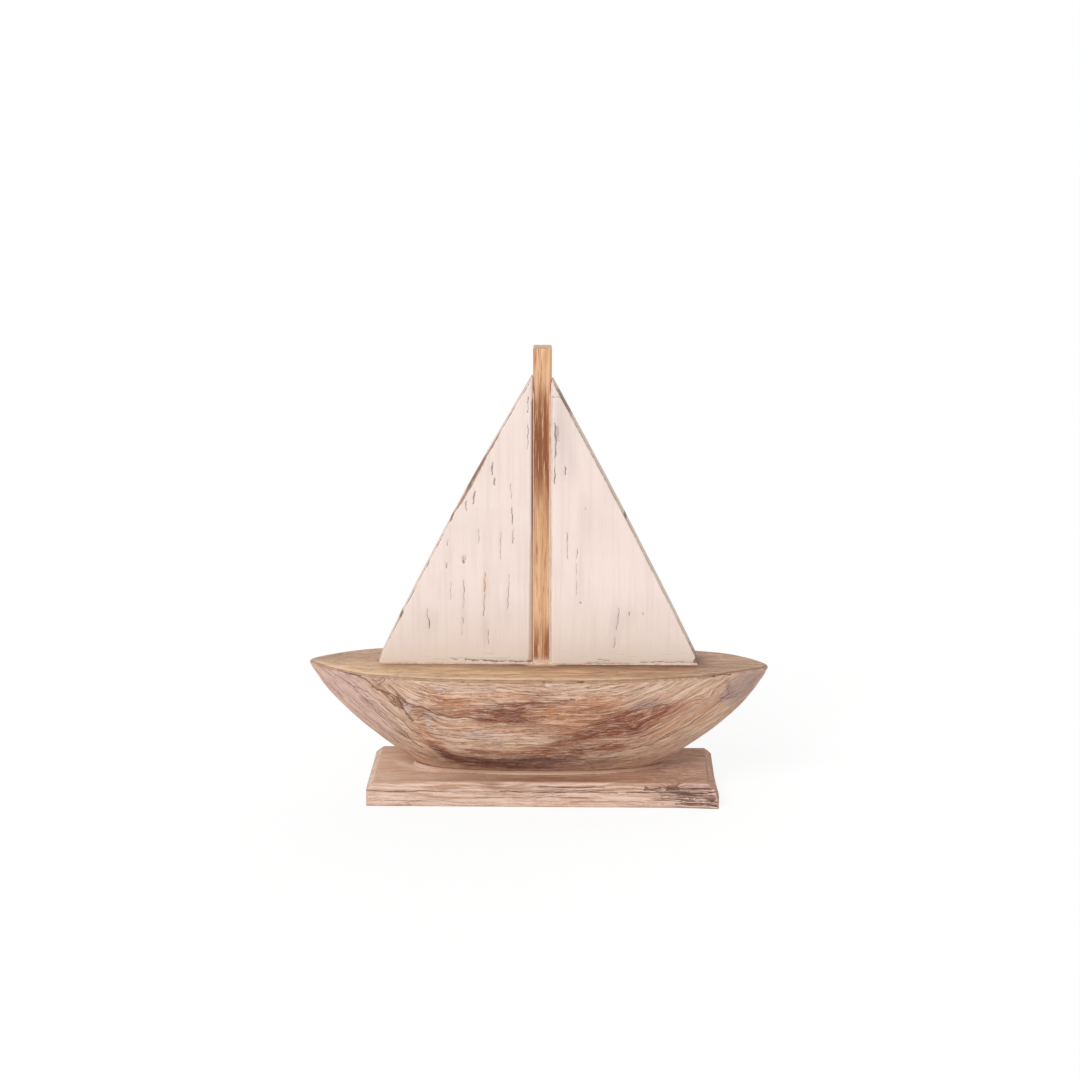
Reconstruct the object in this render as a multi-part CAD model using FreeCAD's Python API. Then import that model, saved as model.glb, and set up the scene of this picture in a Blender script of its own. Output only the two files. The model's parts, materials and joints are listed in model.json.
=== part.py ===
"""A carved wooden sailing boat on a plinth, a shelf ornament about 30 cm long and 30 cm high.

+X points to the bow, +Z up. The origin is on the table, below the middle of the hull's length.
All sizes are in millimetres.
"""

import FreeCAD
import Part
import math
import os

Vector = FreeCAD.Vector

# Plinth board
board_length = 228.0
board_width = 82.0
board_thickness = 15.5
board_chamfer = 5.0
board_corner_radius = 2.0
board_top_corner_radius = 1.0

# Hull
hull_length = 300.0
hull_beam = 80.0
hull_depth = 71.5
foot_length = 154.0
foot_breadth = 37.0
deck_crown = 1.6
deck_edge_easing = 1.3
stem_curve = 1.5  # power by which the ends swell out from the foot to the deck
bilge_curve = 2.6  # the same for the sides
stern_fullness = (2.8, 1.0)  # powers of the cosine and sine in a waterline's after half
bow_fullness = (2.45, 1.12)
quarter_points = 12  # points on a quarter of each waterline
waterline_shares = (0.0, 0.1, 0.25, 0.45, 0.7, 1.0)

# Mast
mast_place = 2.3  # X of the mast, and of the board's middle, before the hull's middle
mast_width = 12.0
mast_depth = 12.0
mast_height = 210.0  # above the deck
mast_edge_radius = 1.8
mast_top_easing = 0.5
mortise_depth = 25.0
mortise_clearance = 0.15

# Sails
sail_thickness = 14.0
mainsail_foot = 100.0
mainsail_luff = 190.5
mainsail_bulge = 2.6
mainsail_luff_radius = 2.6
jib_foot = 95.5
jib_luff = 188.5
jib_bulge = 1.5
jib_luff_radius = 1.4
leech_radius = 0.8
head_width = 1.0

# Dowels between each sail and the deck
dowel_diameter = 5.0
dowel_length = 24.0
dowel_end_gap = 1.0
dowel_tip_chamfer = 0.6
dowel_shares = (0.25, 0.72)  # places along a sail's foot, as shares of it

# Screws from under the board into the hull
screw_diameter = 4.0
screw_length = 40.0
screw_head_diameter = 8.0
screw_head_recess = 0.8
screw_point_length = 5.0
screw_row_length = 90.0
screw_clearance = 0.2
cross_width = 1.1
cross_span = 4.4
cross_depth = 1.9

# Filler squeezed into the corner between hull and board
filler_height = 3.0
filler_side_run = 2.8
filler_end_run = 6.5
filler_top_run = 0.3

deck_height = board_thickness + hull_depth
overcut = 2.0  # how far a cutting body runs past what it cuts


def powered(value, power):
    """A power of a number's size that keeps its sign."""
    return math.copysign(abs(value) ** power, value)


def waterline(half_length, half_breadth, height):
    """A closed level curve round both pointed ends, started at the side."""
    points = []
    for step in range(4 * quarter_points):
        turn = math.pi / 2 * (1 + step / quarter_points)
        along, across = bow_fullness if math.cos(turn) > 0 else stern_fullness
        x = half_length * powered(math.cos(turn), 2 / along)
        y = half_breadth * powered(math.sin(turn), across)
        points.append(Vector(x, y, height))
    places = [float(step) for step in range(len(points) + 1)]
    curve = Part.BSplineCurve()
    curve.interpolate(Points=points, PeriodicFlag=True, Parameters=places)
    return Part.Wire([curve.toShape()])


def hull_half_length(share):
    """Half the hull's length at a share of its depth, from 0 at the foot to 1 at the deck."""
    swell = 1 - (1 - share) ** stem_curve
    return foot_length / 2 + (hull_length - foot_length) / 2 * swell


def hull_half_breadth(share):
    """Half the hull's breadth at a share of its depth."""
    swell = 1 - (1 - share) ** bilge_curve
    return foot_breadth / 2 + (hull_beam - foot_breadth) / 2 * swell


def make_crowned_block():
    """A block whose upper face is the deck's surface, level along X and crowned across it."""
    side = hull_beam / 2
    drop = deck_height - deck_crown
    crown = Part.Arc(Vector(-hull_length, -side, drop), Vector(-hull_length, 0, deck_height),
                     Vector(-hull_length, side, drop)).toShape()
    rest = Part.makePolygon([Vector(-hull_length, side, drop), Vector(-hull_length, side + overcut, drop),
                             Vector(-hull_length, side + overcut, 0),
                             Vector(-hull_length, -side - overcut, 0),
                             Vector(-hull_length, -side - overcut, drop),
                             Vector(-hull_length, -side, drop)])
    face = Part.Face(Part.Wire([crown] + rest.Edges))
    return face.extrude(Vector(2 * hull_length, 0, 0))


def make_hull_blank():
    """The hull before its deck edge is eased and its sockets are cut."""
    lines = []
    for share in waterline_shares:
        height = board_thickness + hull_depth * share
        lines.append(waterline(hull_half_length(share), hull_half_breadth(share), height))
    lines.append(waterline(hull_length / 2, hull_beam / 2, deck_height + overcut))
    body = Part.makeLoft(lines, True, False)
    return body.common(make_crowned_block())


def deck_edges(hull):
    """The edges round the deck."""
    for face in hull.Faces:
        if isinstance(face.Surface, Part.Cylinder):
            return face.OuterWire.Edges
    raise ValueError("the hull has no crowned deck")


def luff_place(side):
    """X of the mast's face aft of it (side -1) or before it (side 1)."""
    return mast_place + side * mast_width / 2


def dowel_places():
    """Each dowel's name and its X, on the middle line of the deck."""
    places = []
    for number, share in enumerate(dowel_shares, 1):
        places.append((f"mainsail_dowel_{number}", luff_place(-1) - mainsail_foot * share))
        places.append((f"jib_dowel_{number}", luff_place(1) + jib_foot * share))
    return places


def make_dowel_hole(x):
    """The hole for a dowel, half of it in the deck and half in the sail's foot."""
    depth = dowel_length + 2 * dowel_end_gap
    return Part.makeCylinder(dowel_diameter / 2, depth, Vector(x, 0, deck_height - depth / 2))


def make_dowel(x):
    """One plain dowel with chamfered tips, standing in its hole."""
    place = Vector(x, 0, deck_height - dowel_length / 2)
    dowel = Part.makeCylinder(dowel_diameter / 2, dowel_length, place)
    tips = [edge for edge in dowel.Edges if isinstance(edge.Curve, Part.Circle)]
    return dowel.makeChamfer(dowel_tip_chamfer, tips)


def screw_places():
    """Each screw's name and its X, on the board's middle line."""
    return [("hull_screw_aft", mast_place - screw_row_length / 2),
            ("hull_screw_fore", mast_place + screw_row_length / 2)]


def turned(x, corners):
    """A solid turned about the upright axis at x from corners given as radius and height."""
    points = [Vector(x + radius, 0, height) for radius, height in corners]
    face = Part.Face(Part.makePolygon(points + points[:1]))
    return face.revolve(Vector(x, 0, 0), Vector(0, 0, 1), 360)


def turned_screw(x):
    """The screw's outline without the cross, which is also the hole that it fills."""
    shank = screw_diameter / 2
    head = screw_head_diameter / 2
    top = screw_head_recess + screw_length
    return turned(x, [
        (0, screw_head_recess),
        (head, screw_head_recess),
        (shank, screw_head_recess + head - shank),
        (shank, top - screw_point_length),
        (0, top),
    ])


def make_screw(x):
    """One countersunk wood screw with a cross in its head, its point up in the hull."""
    body = turned_screw(x)
    low = screw_head_recess - overcut
    for length, width in ((cross_span, cross_width), (cross_width, cross_span)):
        corner = Vector(x - length / 2, -width / 2, low)
        body = body.cut(Part.makeBox(length, width, cross_depth + overcut, corner))
    return body


def make_screw_hole_in_board(x):
    """A clearance hole for the shank, countersunk from below for the head."""
    shank = screw_diameter / 2 + screw_clearance
    head = screw_head_diameter / 2
    return turned(x, [
        (0, -overcut),
        (head, -overcut),
        (head, screw_head_recess),
        (shank, screw_head_recess + head - shank),
        (shank, board_thickness + overcut),
        (0, board_thickness + overcut),
    ])


def rounded_rectangle(length, width, radius, height):
    """A level rectangle with rounded corners, about the mast's axis."""
    corner = Vector(mast_place - length / 2, -width / 2, height)
    plate = Part.makePlane(length, width, corner)
    outline = plate.extrude(Vector(0, 0, 1))
    upright = [edge for edge in outline.Edges if edge.BoundBox.ZLength > edge.BoundBox.XLength]
    upright = [edge for edge in upright if edge.BoundBox.ZLength > edge.BoundBox.YLength]
    outline = outline.makeFillet(radius, upright)
    for face in outline.Faces:
        if face.BoundBox.ZMax < height + 0.5:
            return face.OuterWire
    raise ValueError("the rounded rectangle has no lower face")


def make_base_board():
    """The plinth: one board with its upper edges chamfered and its corners a little rounded."""
    low = rounded_rectangle(board_length, board_width, board_corner_radius,
                            board_thickness - board_chamfer)
    high = rounded_rectangle(board_length - 2 * board_chamfer, board_width - 2 * board_chamfer,
                             board_top_corner_radius, board_thickness)
    plate = Part.Face(low).extrude(Vector(0, 0, board_chamfer - board_thickness))
    board = plate.fuse(Part.makeLoft([low, high], True, True)).removeSplitter()
    for name, x in screw_places():
        board = board.cut(make_screw_hole_in_board(x))
    return board


def make_hull(blank):
    """The hull with its deck edge eased, its mortise, its dowel holes and its screw holes."""
    hull = blank.makeChamfer(deck_edge_easing, deck_edges(blank))
    width = mast_width + 2 * mortise_clearance
    depth = mast_depth + 2 * mortise_clearance
    corner = Vector(mast_place - width / 2, -depth / 2, deck_height - mortise_depth)
    hull = hull.cut(Part.makeBox(width, depth, mortise_depth + overcut, corner))
    for name, x in dowel_places():
        hull = hull.cut(make_dowel_hole(x))
    for name, x in screw_places():
        hull = hull.cut(turned_screw(x))
    return hull


def make_mast():
    """A square stick with eased edges, let into the deck."""
    corner = Vector(luff_place(-1), -mast_depth / 2, deck_height - mortise_depth)
    mast = Part.makeBox(mast_width, mast_depth, mast_height + mortise_depth, corner)
    long_edges = [edge for edge in mast.Edges if edge.Length > mast_height]
    mast = mast.makeFillet(mast_edge_radius, long_edges)
    top = [edge for edge in mast.Edges if edge.BoundBox.ZMin > deck_height + mast_height / 2]
    return mast.makeChamfer(mast_top_easing, top)


def make_sail(side, foot, luff, bulge, luff_radius, blank):
    """A thick triangular board with a bowed leech. side is -1 aft of the mast and 1 before it."""
    luff_x = luff_place(side)
    clew_x = luff_x + side * foot
    head_x = luff_x + side * head_width
    head_z = deck_height + luff
    low_z = deck_height - deck_crown - overcut
    out = Vector(luff, 0, foot - head_width).normalize()
    middle = Vector((clew_x + head_x) / 2, 0, deck_height + luff / 2)
    middle += Vector(side * out.x, 0, out.z) * bulge
    clew = Vector(clew_x, 0, deck_height)
    head = Vector(head_x, 0, head_z)
    leech = Part.Arc(clew, middle, head).toShape()
    rest = Part.makePolygon([head, Vector(luff_x, 0, head_z), Vector(luff_x, 0, low_z),
                             Vector(clew_x, 0, low_z), clew])
    face = Part.Face(Part.Wire([leech] + rest.Edges))
    face.translate(Vector(0, -sail_thickness / 2, 0))
    sail = face.extrude(Vector(0, sail_thickness, 0))
    leech_edges = [edge for edge in sail.Edges if isinstance(edge.Curve, Part.Circle)]
    sail = sail.makeFillet(leech_radius, leech_edges)
    board = Part.makeBox(foot + bulge, sail_thickness, head_z,
                         Vector(min(luff_x, luff_x + side * (foot + bulge)), -sail_thickness / 2, 0))
    upright = [edge for edge in board.Edges if edge.BoundBox.ZLength > luff]
    luff_edges = [edge for edge in upright if abs(edge.CenterOfMass.x - luff_x) < foot / 2]
    board = board.makeFillet(luff_radius, luff_edges)
    sail = sail.common(board).cut(blank)
    for name, x in dowel_places():
        if 0 < side * (x - luff_x) < foot:
            sail = sail.cut(make_dowel_hole(x))
    return sail


def make_filler_bead(blank):
    """The ring of filler in the corner between the hull's foot and the board."""
    share = filler_height / hull_depth
    low = waterline(foot_length / 2 + filler_end_run, foot_breadth / 2 + filler_side_run,
                    board_thickness)
    high = waterline(hull_half_length(share) + filler_top_run,
                     hull_half_breadth(share) + filler_top_run,
                     board_thickness + filler_height)
    return Part.makeLoft([low, high], True, True).cut(blank)


def make_pieces():
    """Every piece of the boat by its name."""
    blank = make_hull_blank()
    pieces = {
        "base_board": make_base_board(),
        "hull": make_hull(blank),
        "mast": make_mast(),
        "mainsail": make_sail(-1, mainsail_foot, mainsail_luff, mainsail_bulge,
                              mainsail_luff_radius, blank),
        "jib": make_sail(1, jib_foot, jib_luff, jib_bulge, jib_luff_radius, blank),
        "filler_bead": make_filler_bead(blank),
    }
    for name, x in dowel_places():
        pieces[name] = make_dowel(x)
    for name, x in screw_places():
        pieces[name] = make_screw(x)
    return pieces


def main():
    os.makedirs("parts", exist_ok=True)
    for name, shape in make_pieces().items():
        shape.exportStep(f"parts/{name}.step")
        solids = len(shape.Solids)
        print(f"{name}: {solids} solid, valid {shape.isValid()}, {shape.Volume / 1000:.2f} cm3")


main()
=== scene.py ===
"""Wooden sailing boat on its base board: carved pieces, paint, stage and camera."""
import json
import math

import bmesh
import bpy
import numpy as np
from bpy.props import FloatProperty, FloatVectorProperty, IntProperty, PointerProperty
from mathutils import Matrix, Vector, kdtree
from mathutils.bvhtree import BVHTree

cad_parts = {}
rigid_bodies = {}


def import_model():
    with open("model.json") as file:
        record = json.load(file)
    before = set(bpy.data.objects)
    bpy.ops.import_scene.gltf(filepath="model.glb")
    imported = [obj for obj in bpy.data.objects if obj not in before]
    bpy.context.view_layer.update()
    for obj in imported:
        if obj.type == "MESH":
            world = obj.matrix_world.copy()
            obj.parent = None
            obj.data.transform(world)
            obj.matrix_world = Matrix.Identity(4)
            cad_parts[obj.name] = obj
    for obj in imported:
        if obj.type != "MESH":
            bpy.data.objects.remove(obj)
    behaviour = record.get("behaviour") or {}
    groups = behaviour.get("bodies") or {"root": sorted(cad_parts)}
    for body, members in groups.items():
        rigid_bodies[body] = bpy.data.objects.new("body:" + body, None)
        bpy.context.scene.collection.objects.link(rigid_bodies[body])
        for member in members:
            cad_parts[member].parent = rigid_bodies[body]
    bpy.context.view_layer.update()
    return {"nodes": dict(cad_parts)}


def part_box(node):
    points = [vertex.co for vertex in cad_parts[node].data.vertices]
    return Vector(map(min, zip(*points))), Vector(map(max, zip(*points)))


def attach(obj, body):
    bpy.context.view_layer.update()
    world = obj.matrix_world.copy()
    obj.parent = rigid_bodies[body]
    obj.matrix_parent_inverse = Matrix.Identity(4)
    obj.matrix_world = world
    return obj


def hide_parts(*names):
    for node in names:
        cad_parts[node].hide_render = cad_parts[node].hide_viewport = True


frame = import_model()

bl_info = {
    "name": "Wooden sailing boat",
    "version": (1, 0, 0),
    "blender": (4, 5, 0),
    "location": "3D View > Sidebar > Boat",
    "description": "Carves, paints and sets out a small wooden sailing boat on its base board",
    "category": "Object",
}

MM = 0.001
BODY = "root"
OTHER_SIDE = (11.0, 0.86)  # where the marks of the hull's near side start on its far side, and their scale
FAR_OFF = 9.0  # the distance to a crack where there is none


def paint(red, green, blue):
    """A colour in screen values from 0 to 255, turned into scene light."""
    def channel(value):
        value /= 255
        return value / 12.92 if value <= 0.04045 else ((value + 0.055) / 1.055) ** 2.4
    return tuple(channel(value) for value in (red, green, blue))


def length(name, about, usual, least=0.0):
    """A setting for a length."""
    return FloatProperty(
        name=name, description=about, default=usual, min=least, unit="LENGTH", subtype="DISTANCE")


def amount(name, about, usual):
    """A setting for a plain amount."""
    return FloatProperty(name=name, description=about, default=usual, min=0.0)


def tint(name, about, red, green, blue):
    """A setting for a colour, in screen values from 0 to 255."""
    return FloatVectorProperty(
        name=name, description=about, subtype="COLOR", size=3, min=0.0, max=1.0,
        default=paint(red, green, blue))


# ---------------------------------------------------------------- node trees


class Level:
    """One varying value in a node tree. Sums written on it become Math nodes."""

    def __init__(self, nodes, socket):
        self.nodes = nodes
        self.socket = socket

    def _math(self, operation, first, second=None, clamp=False):
        values = {0: first} if second is None else {0: first, 1: second}
        return self.nodes.add("ShaderNodeMath", {"operation": operation, "use_clamp": clamp}, values)

    def __add__(self, other):
        return self._math("ADD", self, other)

    def __radd__(self, other):
        return self._math("ADD", other, self)

    def __sub__(self, other):
        return self._math("SUBTRACT", self, other)

    def __rsub__(self, other):
        return self._math("SUBTRACT", other, self)

    def __mul__(self, other):
        return self._math("MULTIPLY", self, other)

    def __rmul__(self, other):
        return self._math("MULTIPLY", other, self)

    def __truediv__(self, other):
        return self._math("DIVIDE", self, other)

    def __pow__(self, other):
        return self._math("POWER", self, other)

    def __abs__(self):
        return self._math("ABSOLUTE", self)

    def clipped(self):
        return self._math("ADD", self, 0.0, clamp=True)

    def at_most(self, other):
        return self._math("MINIMUM", self, other)

    def at_least(self, other):
        return self._math("MAXIMUM", self, other)

    def between(self, low, high):
        """A soft step from 0 at low to 1 at high."""
        return self.nodes.add(
            "ShaderNodeMapRange",
            {"interpolation_type": "SMOOTHSTEP"},
            {"Value": self, "From Min": low, "From Max": high},
        )

    def parts(self):
        """The three numbers of a vector."""
        split = self.nodes.add("ShaderNodeSeparateXYZ", {}, {0: self})
        return [Level(self.nodes, socket) for socket in split.socket.node.outputs]


class Nodes:
    """Builds one node tree, for a finish or for a relief."""

    def __init__(self, tree):
        self.tree = tree

    def add(self, kind, settings=None, sockets=None, output=0):
        """Adds a node: its settings first, then the values or links of its sockets."""
        node = self.tree.nodes.new(kind)
        for name, value in (settings or {}).items():
            setattr(node, name, value)
        for key, value in (sockets or {}).items():
            socket = node.inputs[key] if isinstance(key, int) else self.pick(node.inputs, key)
            if isinstance(value, Level):
                self.tree.links.new(value.socket, socket)
            else:
                socket.default_value = value
        found = node.outputs[output] if isinstance(output, int) else self.pick(node.outputs, output)
        return Level(self, found)

    @staticmethod
    def pick(sockets, name):
        return next(socket for socket in sockets if socket.name == name and socket.enabled)

    def scaled(self, vector, scale):
        return self.add("ShaderNodeVectorMath", {"operation": "MULTIPLY"}, {0: vector, 1: scale})

    def noise(self, vector, scale, seed=0.0, detail=2.0, roughness=0.5, distortion=0.0):
        """Noise from 0 to 1, with the number of cells to a millimetre along each axis."""
        return self.add(
            "ShaderNodeTexNoise",
            {"noise_dimensions": "4D"},
            {
                "Vector": self.scaled(vector, scale), "W": seed, "Scale": 1.0, "Detail": detail,
                "Roughness": roughness, "Distortion": distortion,
            },
        )


class Finish(Nodes):
    """A procedural material with one Principled shader."""

    def __init__(self, name, **constants):
        self.material = bpy.data.materials.new(name)
        self.material.use_nodes = True
        super().__init__(self.material.node_tree)
        self.shader = self.tree.nodes["Principled BSDF"]
        for name_, value in constants.items():
            self.shader.inputs[name_.replace("_", " ")].default_value = value

    def attribute(self, name):
        return self.add("ShaderNodeAttribute", {"attribute_name": name}, output="Vector")

    def place(self):
        """Object coordinates in millimetres."""
        here = self.add("ShaderNodeTexCoord", output="Object")
        return self.scaled(here, (1 / MM, 1 / MM, 1 / MM))

    def mix(self, share, first, second):
        """A colour that goes from the first to the second as the share goes from 0 to 1."""
        def colour(value):
            return value if isinstance(value, Level) else (*value, 1.0)
        return self.add(
            "ShaderNodeMix",
            {"data_type": "RGBA", "clamp_factor": True},
            {"Factor": share, "A": colour(first), "B": colour(second)},
            output="Result",
        )

    def coats(self, colour, layers):
        """Coats laid over a colour one after another, each a share and the coat's colour."""
        for share, coat in layers:
            colour = self.mix(share, colour, coat)
        return colour

    def bent(self, grain, reach, seed):
        """Grain coordinates that stray by up to a few millimetres, so the lines meander."""
        stray = (self.noise(self.place(), (0.05, 0.09, 0.09), seed, detail=2.0) - 0.5) * reach
        shift = self.add("ShaderNodeCombineXYZ", {}, {1: stray, 2: stray})
        return self.add("ShaderNodeVectorMath", {"operation": "ADD"}, {0: grain, 1: shift})

    def cracks(self, ragged):
        """Share of crack at each spot. A ragged noise round 0 thins the lines and breaks them."""
        run, rise, far = self.attribute("cracks").parts()
        reach = ((run * run + rise * rise) ** 0.5).at_least(far)
        return 1 - (reach + ragged).between(0.5, 1.6)

    def finish(self, colour, roughness, height, depth):
        """Joins colour, roughness and a bump of a depth in metres to the shader."""
        bump = self.add("ShaderNodeBump", {}, {"Strength": 1.0, "Distance": depth, "Height": height})
        for name, value in (("Base Color", colour), ("Roughness", roughness), ("Normal", bump)):
            self.tree.links.new(value.socket, self.shader.inputs[name])
        return self.material


# ---------------------------------------------------------------- marks and stains


def side_view(points, far=OTHER_SIDE):
    """Length and height of each point in millimetres; the far side is turned round, so it differs."""
    along, across, up = points.T
    if far:
        along = np.where(across < 0, along, far[0] - far[1] * along)
    return along, up


def patches(points, rows, far=OTHER_SIDE):
    """Soft oval patches: length, height, half length, half height, tilt in degrees, strength."""
    along, up = side_view(points, far)
    total = np.zeros(len(points))
    for middle, height, half_length, half_height, tilt, strength in rows:
        turn = math.radians(tilt)
        run, rise = along - middle, up - height
        long_way = (run * math.cos(turn) + rise * math.sin(turn)) / half_length
        short_way = (rise * math.cos(turn) - run * math.sin(turn)) / half_height
        total += strength * np.exp(-(long_way ** 2 + short_way ** 2))
    return total


def strokes(points, lines, wobble, shown, far=OTHER_SIDE):
    """Distance to the nearest line less its half width, and the way to it in half widths.

    The way runs straight through a line's middle, so thin lines stay sharp on coarse cells. Its third
    number is the distance less a slack; it keeps the way from crossing nothing half way between lines.
    """
    along, up = side_view(points, far)
    along, up = (
        along + wobble * (np.sin(0.83 * up + 0.31 * along) + 0.6 * np.sin(2.3 * up - 0.4 * along)),
        up + wobble * (np.sin(0.45 * along + 1) + 0.6 * np.sin(1.3 * along + up)),
    )
    nearest = np.full(len(points), 99.0)
    way = np.full((len(points), 3), 99.0)
    for half_width, *corners in lines:
        for (x0, z0), (x1, z1) in zip(corners, corners[1:]):
            span = max((x1 - x0) ** 2 + (z1 - z0) ** 2, 1e-6)
            share = np.clip(((along - x0) * (x1 - x0) + (up - z0) * (z1 - z0)) / span, 0, 1)
            run, rise = along - x0 - share * (x1 - x0), up - z0 - share * (z1 - z0)
            gap = np.hypot(run, rise)
            nearer = gap - half_width < nearest
            nearest = np.where(nearer, gap - half_width, nearest)
            way = np.where(nearer[:, None], np.column_stack((run, rise, gap - 1.0)) / half_width, way)
    return np.where(shown, nearest, FAR_OFF), np.where(shown[:, None], way, FAR_OFF)


def flat(points, value=0.0):
    """The same number at every point."""
    return np.full(len(points), value)


def no_cracks(points, faces):
    return flat(points, FAR_OFF), np.full((len(points), 3), FAR_OFF)


def no_tints(points, faces):
    return (flat(points),) * 3


HULL_CRACKS = [
    (0.42, (-120.7, 85.0), (-112.0, 82.5), (-106.0, 76.0), (-99.5, 74.6), (-94.5, 73.5), (-89.4, 66.7),
     (-86.3, 59.6), (-81.8, 54.7)),
    (0.40, (-93.2, 72.5), (-87.0, 69.0), (-81.5, 67.0), (-71.1, 64.0), (-66.0, 60.8), (-55.5, 59.4),
     (-43.9, 59.4), (-30.0, 58.0)),
    (0.16, (-108.8, 82.8), (-104.0, 82.0), (-99.4, 86.4)), (0.12, (-105.0, 79.0), (-99.0, 84.0)),
    (0.20, (-98.0, 80.5), (-92.0, 75.0), (-88.5, 71.0), (-86.0, 66.0)),
    (0.16, (-110.0, 78.0), (-103.0, 74.5), (-97.5, 70.5), (-94.0, 64.5)),
    (0.15, (-96.0, 72.0), (-92.5, 66.0), (-86.0, 60.5), (-80.0, 55.5)),
    (0.16, (-103.6, 66.0), (-92.9, 57.5), (-84.6, 49.8), (-74.9, 41.5)),
    (0.12, (-124.0, 78.0), (-111.0, 66.0), (-100.0, 57.0), (-90.0, 48.0), (-80.0, 37.0)),
    (0.12, (-118.0, 69.0), (-108.0, 60.0), (-97.0, 50.0), (-86.0, 40.0)),
    (0.14, (-130.0, 81.0), (-121.0, 76.5), (-112.0, 74.0)),
    (0.14, (-99.0, 52.0), (-88.0, 43.0), (-76.0, 33.0)),
    (0.20, (-79.0, 57.0), (-74.0, 60.5), (-69.5, 59.5), (-66.0, 56.0)),
    (0.18, (-77.0, 52.5), (-71.0, 51.5), (-66.0, 53.5)),
    (0.14, (-79.0, 49.0), (-66.0, 46.0), (-52.0, 44.0), (-38.0, 43.0)),
    (0.14, (-70.0, 44.0), (-58.0, 40.4), (-48.0, 40.0)),
    (0.22, (-72.0, 36.5), (-66.0, 31.0), (-57.0, 26.5), (-44.0, 24.2), (-28.0, 23.6), (-12.0, 24.2)),
    (0.16, (-66.0, 73.0), (-58.0, 70.4), (-50.0, 70.2)), (0.16, (-78.0, 79.0), (-70.0, 76.0), (-62.0, 77.0)),
    (0.16, (40.4, 31.2), (73.0, 37.3), (96.0, 50.0), (105.4, 57.5), (128.5, 73.5)),
    (0.22, (10.0, 41.0), (24.0, 43.0), (36.0, 46.6), (46.0, 51.0), (56.0, 51.5)),
    (0.2, (16.0, 35.0), (34.0, 36.0), (48.0, 40.4)),
    (0.22, (34.0, 55.0), (52.0, 60.0), (70.0, 66.0), (84.0, 68.0)),
    (0.16, (46.0, 62.0), (62.0, 66.4), (78.0, 71.0)), (0.26, (57.0, 53.4), (60.5, 51.2), (65.0, 50.6)),
    (0.22, (58.0, 49.6), (62.0, 48.6), (66.5, 52.6)),
    (0.26, (-32.0, 66.0), (-24.0, 64.6), (-14.0, 65.0), (-8.0, 66.4)),
    (0.2, (-26.0, 69.4), (-12.0, 69.0), (2.0, 71.0)), (0.22, (-28.0, 58.2), (-18.0, 56.8), (-6.0, 57.6)),
    (0.30, (21.0, 73.2), (24.0, 72.4)), (0.2, (-2.0, 76.0), (4.0, 75.4)),
    (0.1, (126.0, 78.0), (123.6, 74.5), (125.0, 71.0)), (0.12, (118.0, 68.6), (124.0, 67.8), (130.0, 68.4)),
    (0.22, (-131.0, 85.8), (-124.0, 85.4), (-115.0, 84.6)),
    (0.34, (113.0, 85.6), (120.0, 85.6), (126.0, 85.0)), (0.30, (3.5, 85.2), (9.0, 84.8)),
    (0.34, (25.0, 84.9), (30.0, 85.0)),
]
HULL_RED = [
    (-21, 61.0, 15, 4.6, 0, 1.5), (-12, 68.0, 28, 2.6, 4, 0.7), (-46, 61, 18, 3.0, -6, 0.5),
    (0, 71, 24, 2.0, 3, 0.35), (56, 57, 24, 8.0, 14, 1.3), (62, 50.5, 13, 6.0, 0, 0.8),
    (30, 46, 20, 3.4, 16, 1.0), (16, 35, 26, 4.6, 4, 0.9), (48, 37, 18, 3.6, 12, 0.55),
    (8, 55, 20, 6, 0, 0.3), (82, 62, 14, 4, 22, 0.5), (-84, 66, 10, 1.8, -50, 0.4),
    (-98, 74, 10, 2, -40, 0.35), (-76, 63, 9, 2.2, -26, 0.6), (30, 66, 16, 2, 6, 0.3),
    (-64, 34, 9, 3.0, -35, 0.8), (-30, 33, 30, 2.4, -3, 0.6), (4, 76, 12, 1.8, 0, 0.3),
]
HULL_DARK = [
    (-34, 25.6, 26, 3.6, -3, 1.3), (6, 26.5, 26, 4.0, 2, 1.05), (-60, 29.5, 9, 2.8, -32, 1.0),
    (-20, 21.0, 34, 2.4, 0, 0.75), (40, 24, 18, 3.2, 6, 0.4), (60.5, 51.5, 3.4, 2.2, 0, 0.6),
    (-90, 67.5, 3.0, 2.4, -40, 0.35), (-17, 61, 9, 2.0, 0, 0.4), (50, 53, 14, 2.0, 10, 0.4),
    (-66, 62, 7, 1.2, -20, 0.4), (125, 76, 2.2, 4.5, 10, 0.55), (122, 69.5, 5.0, 1.6, 10, 0.45),
]
HULL_ORANGE = [
    (-56, 69, 18, 6.5, -10, 1.0), (-77, 47, 9, 6.0, -38, 0.8), (-30, 75, 34, 4.0, 0, 0.55),
    (-68, 40, 9, 5, -40, 0.7), (84, 62, 20, 7.0, 24, 0.6), (84, 50, 20, 4.0, 30, 0.6), (8, 62, 22, 8, 0, 0.9),
    (34, 62, 26, 9, 6, 0.9), (-20, 52, 30, 4, 0, 0.5), (-50, 52, 22, 3, -6, 0.4), (40, 70, 18, 4, 5, 0.6),
    (108, 60, 12, 5, 45, 0.4), (52, 42, 16, 3, 14, 0.5),
]
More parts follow.
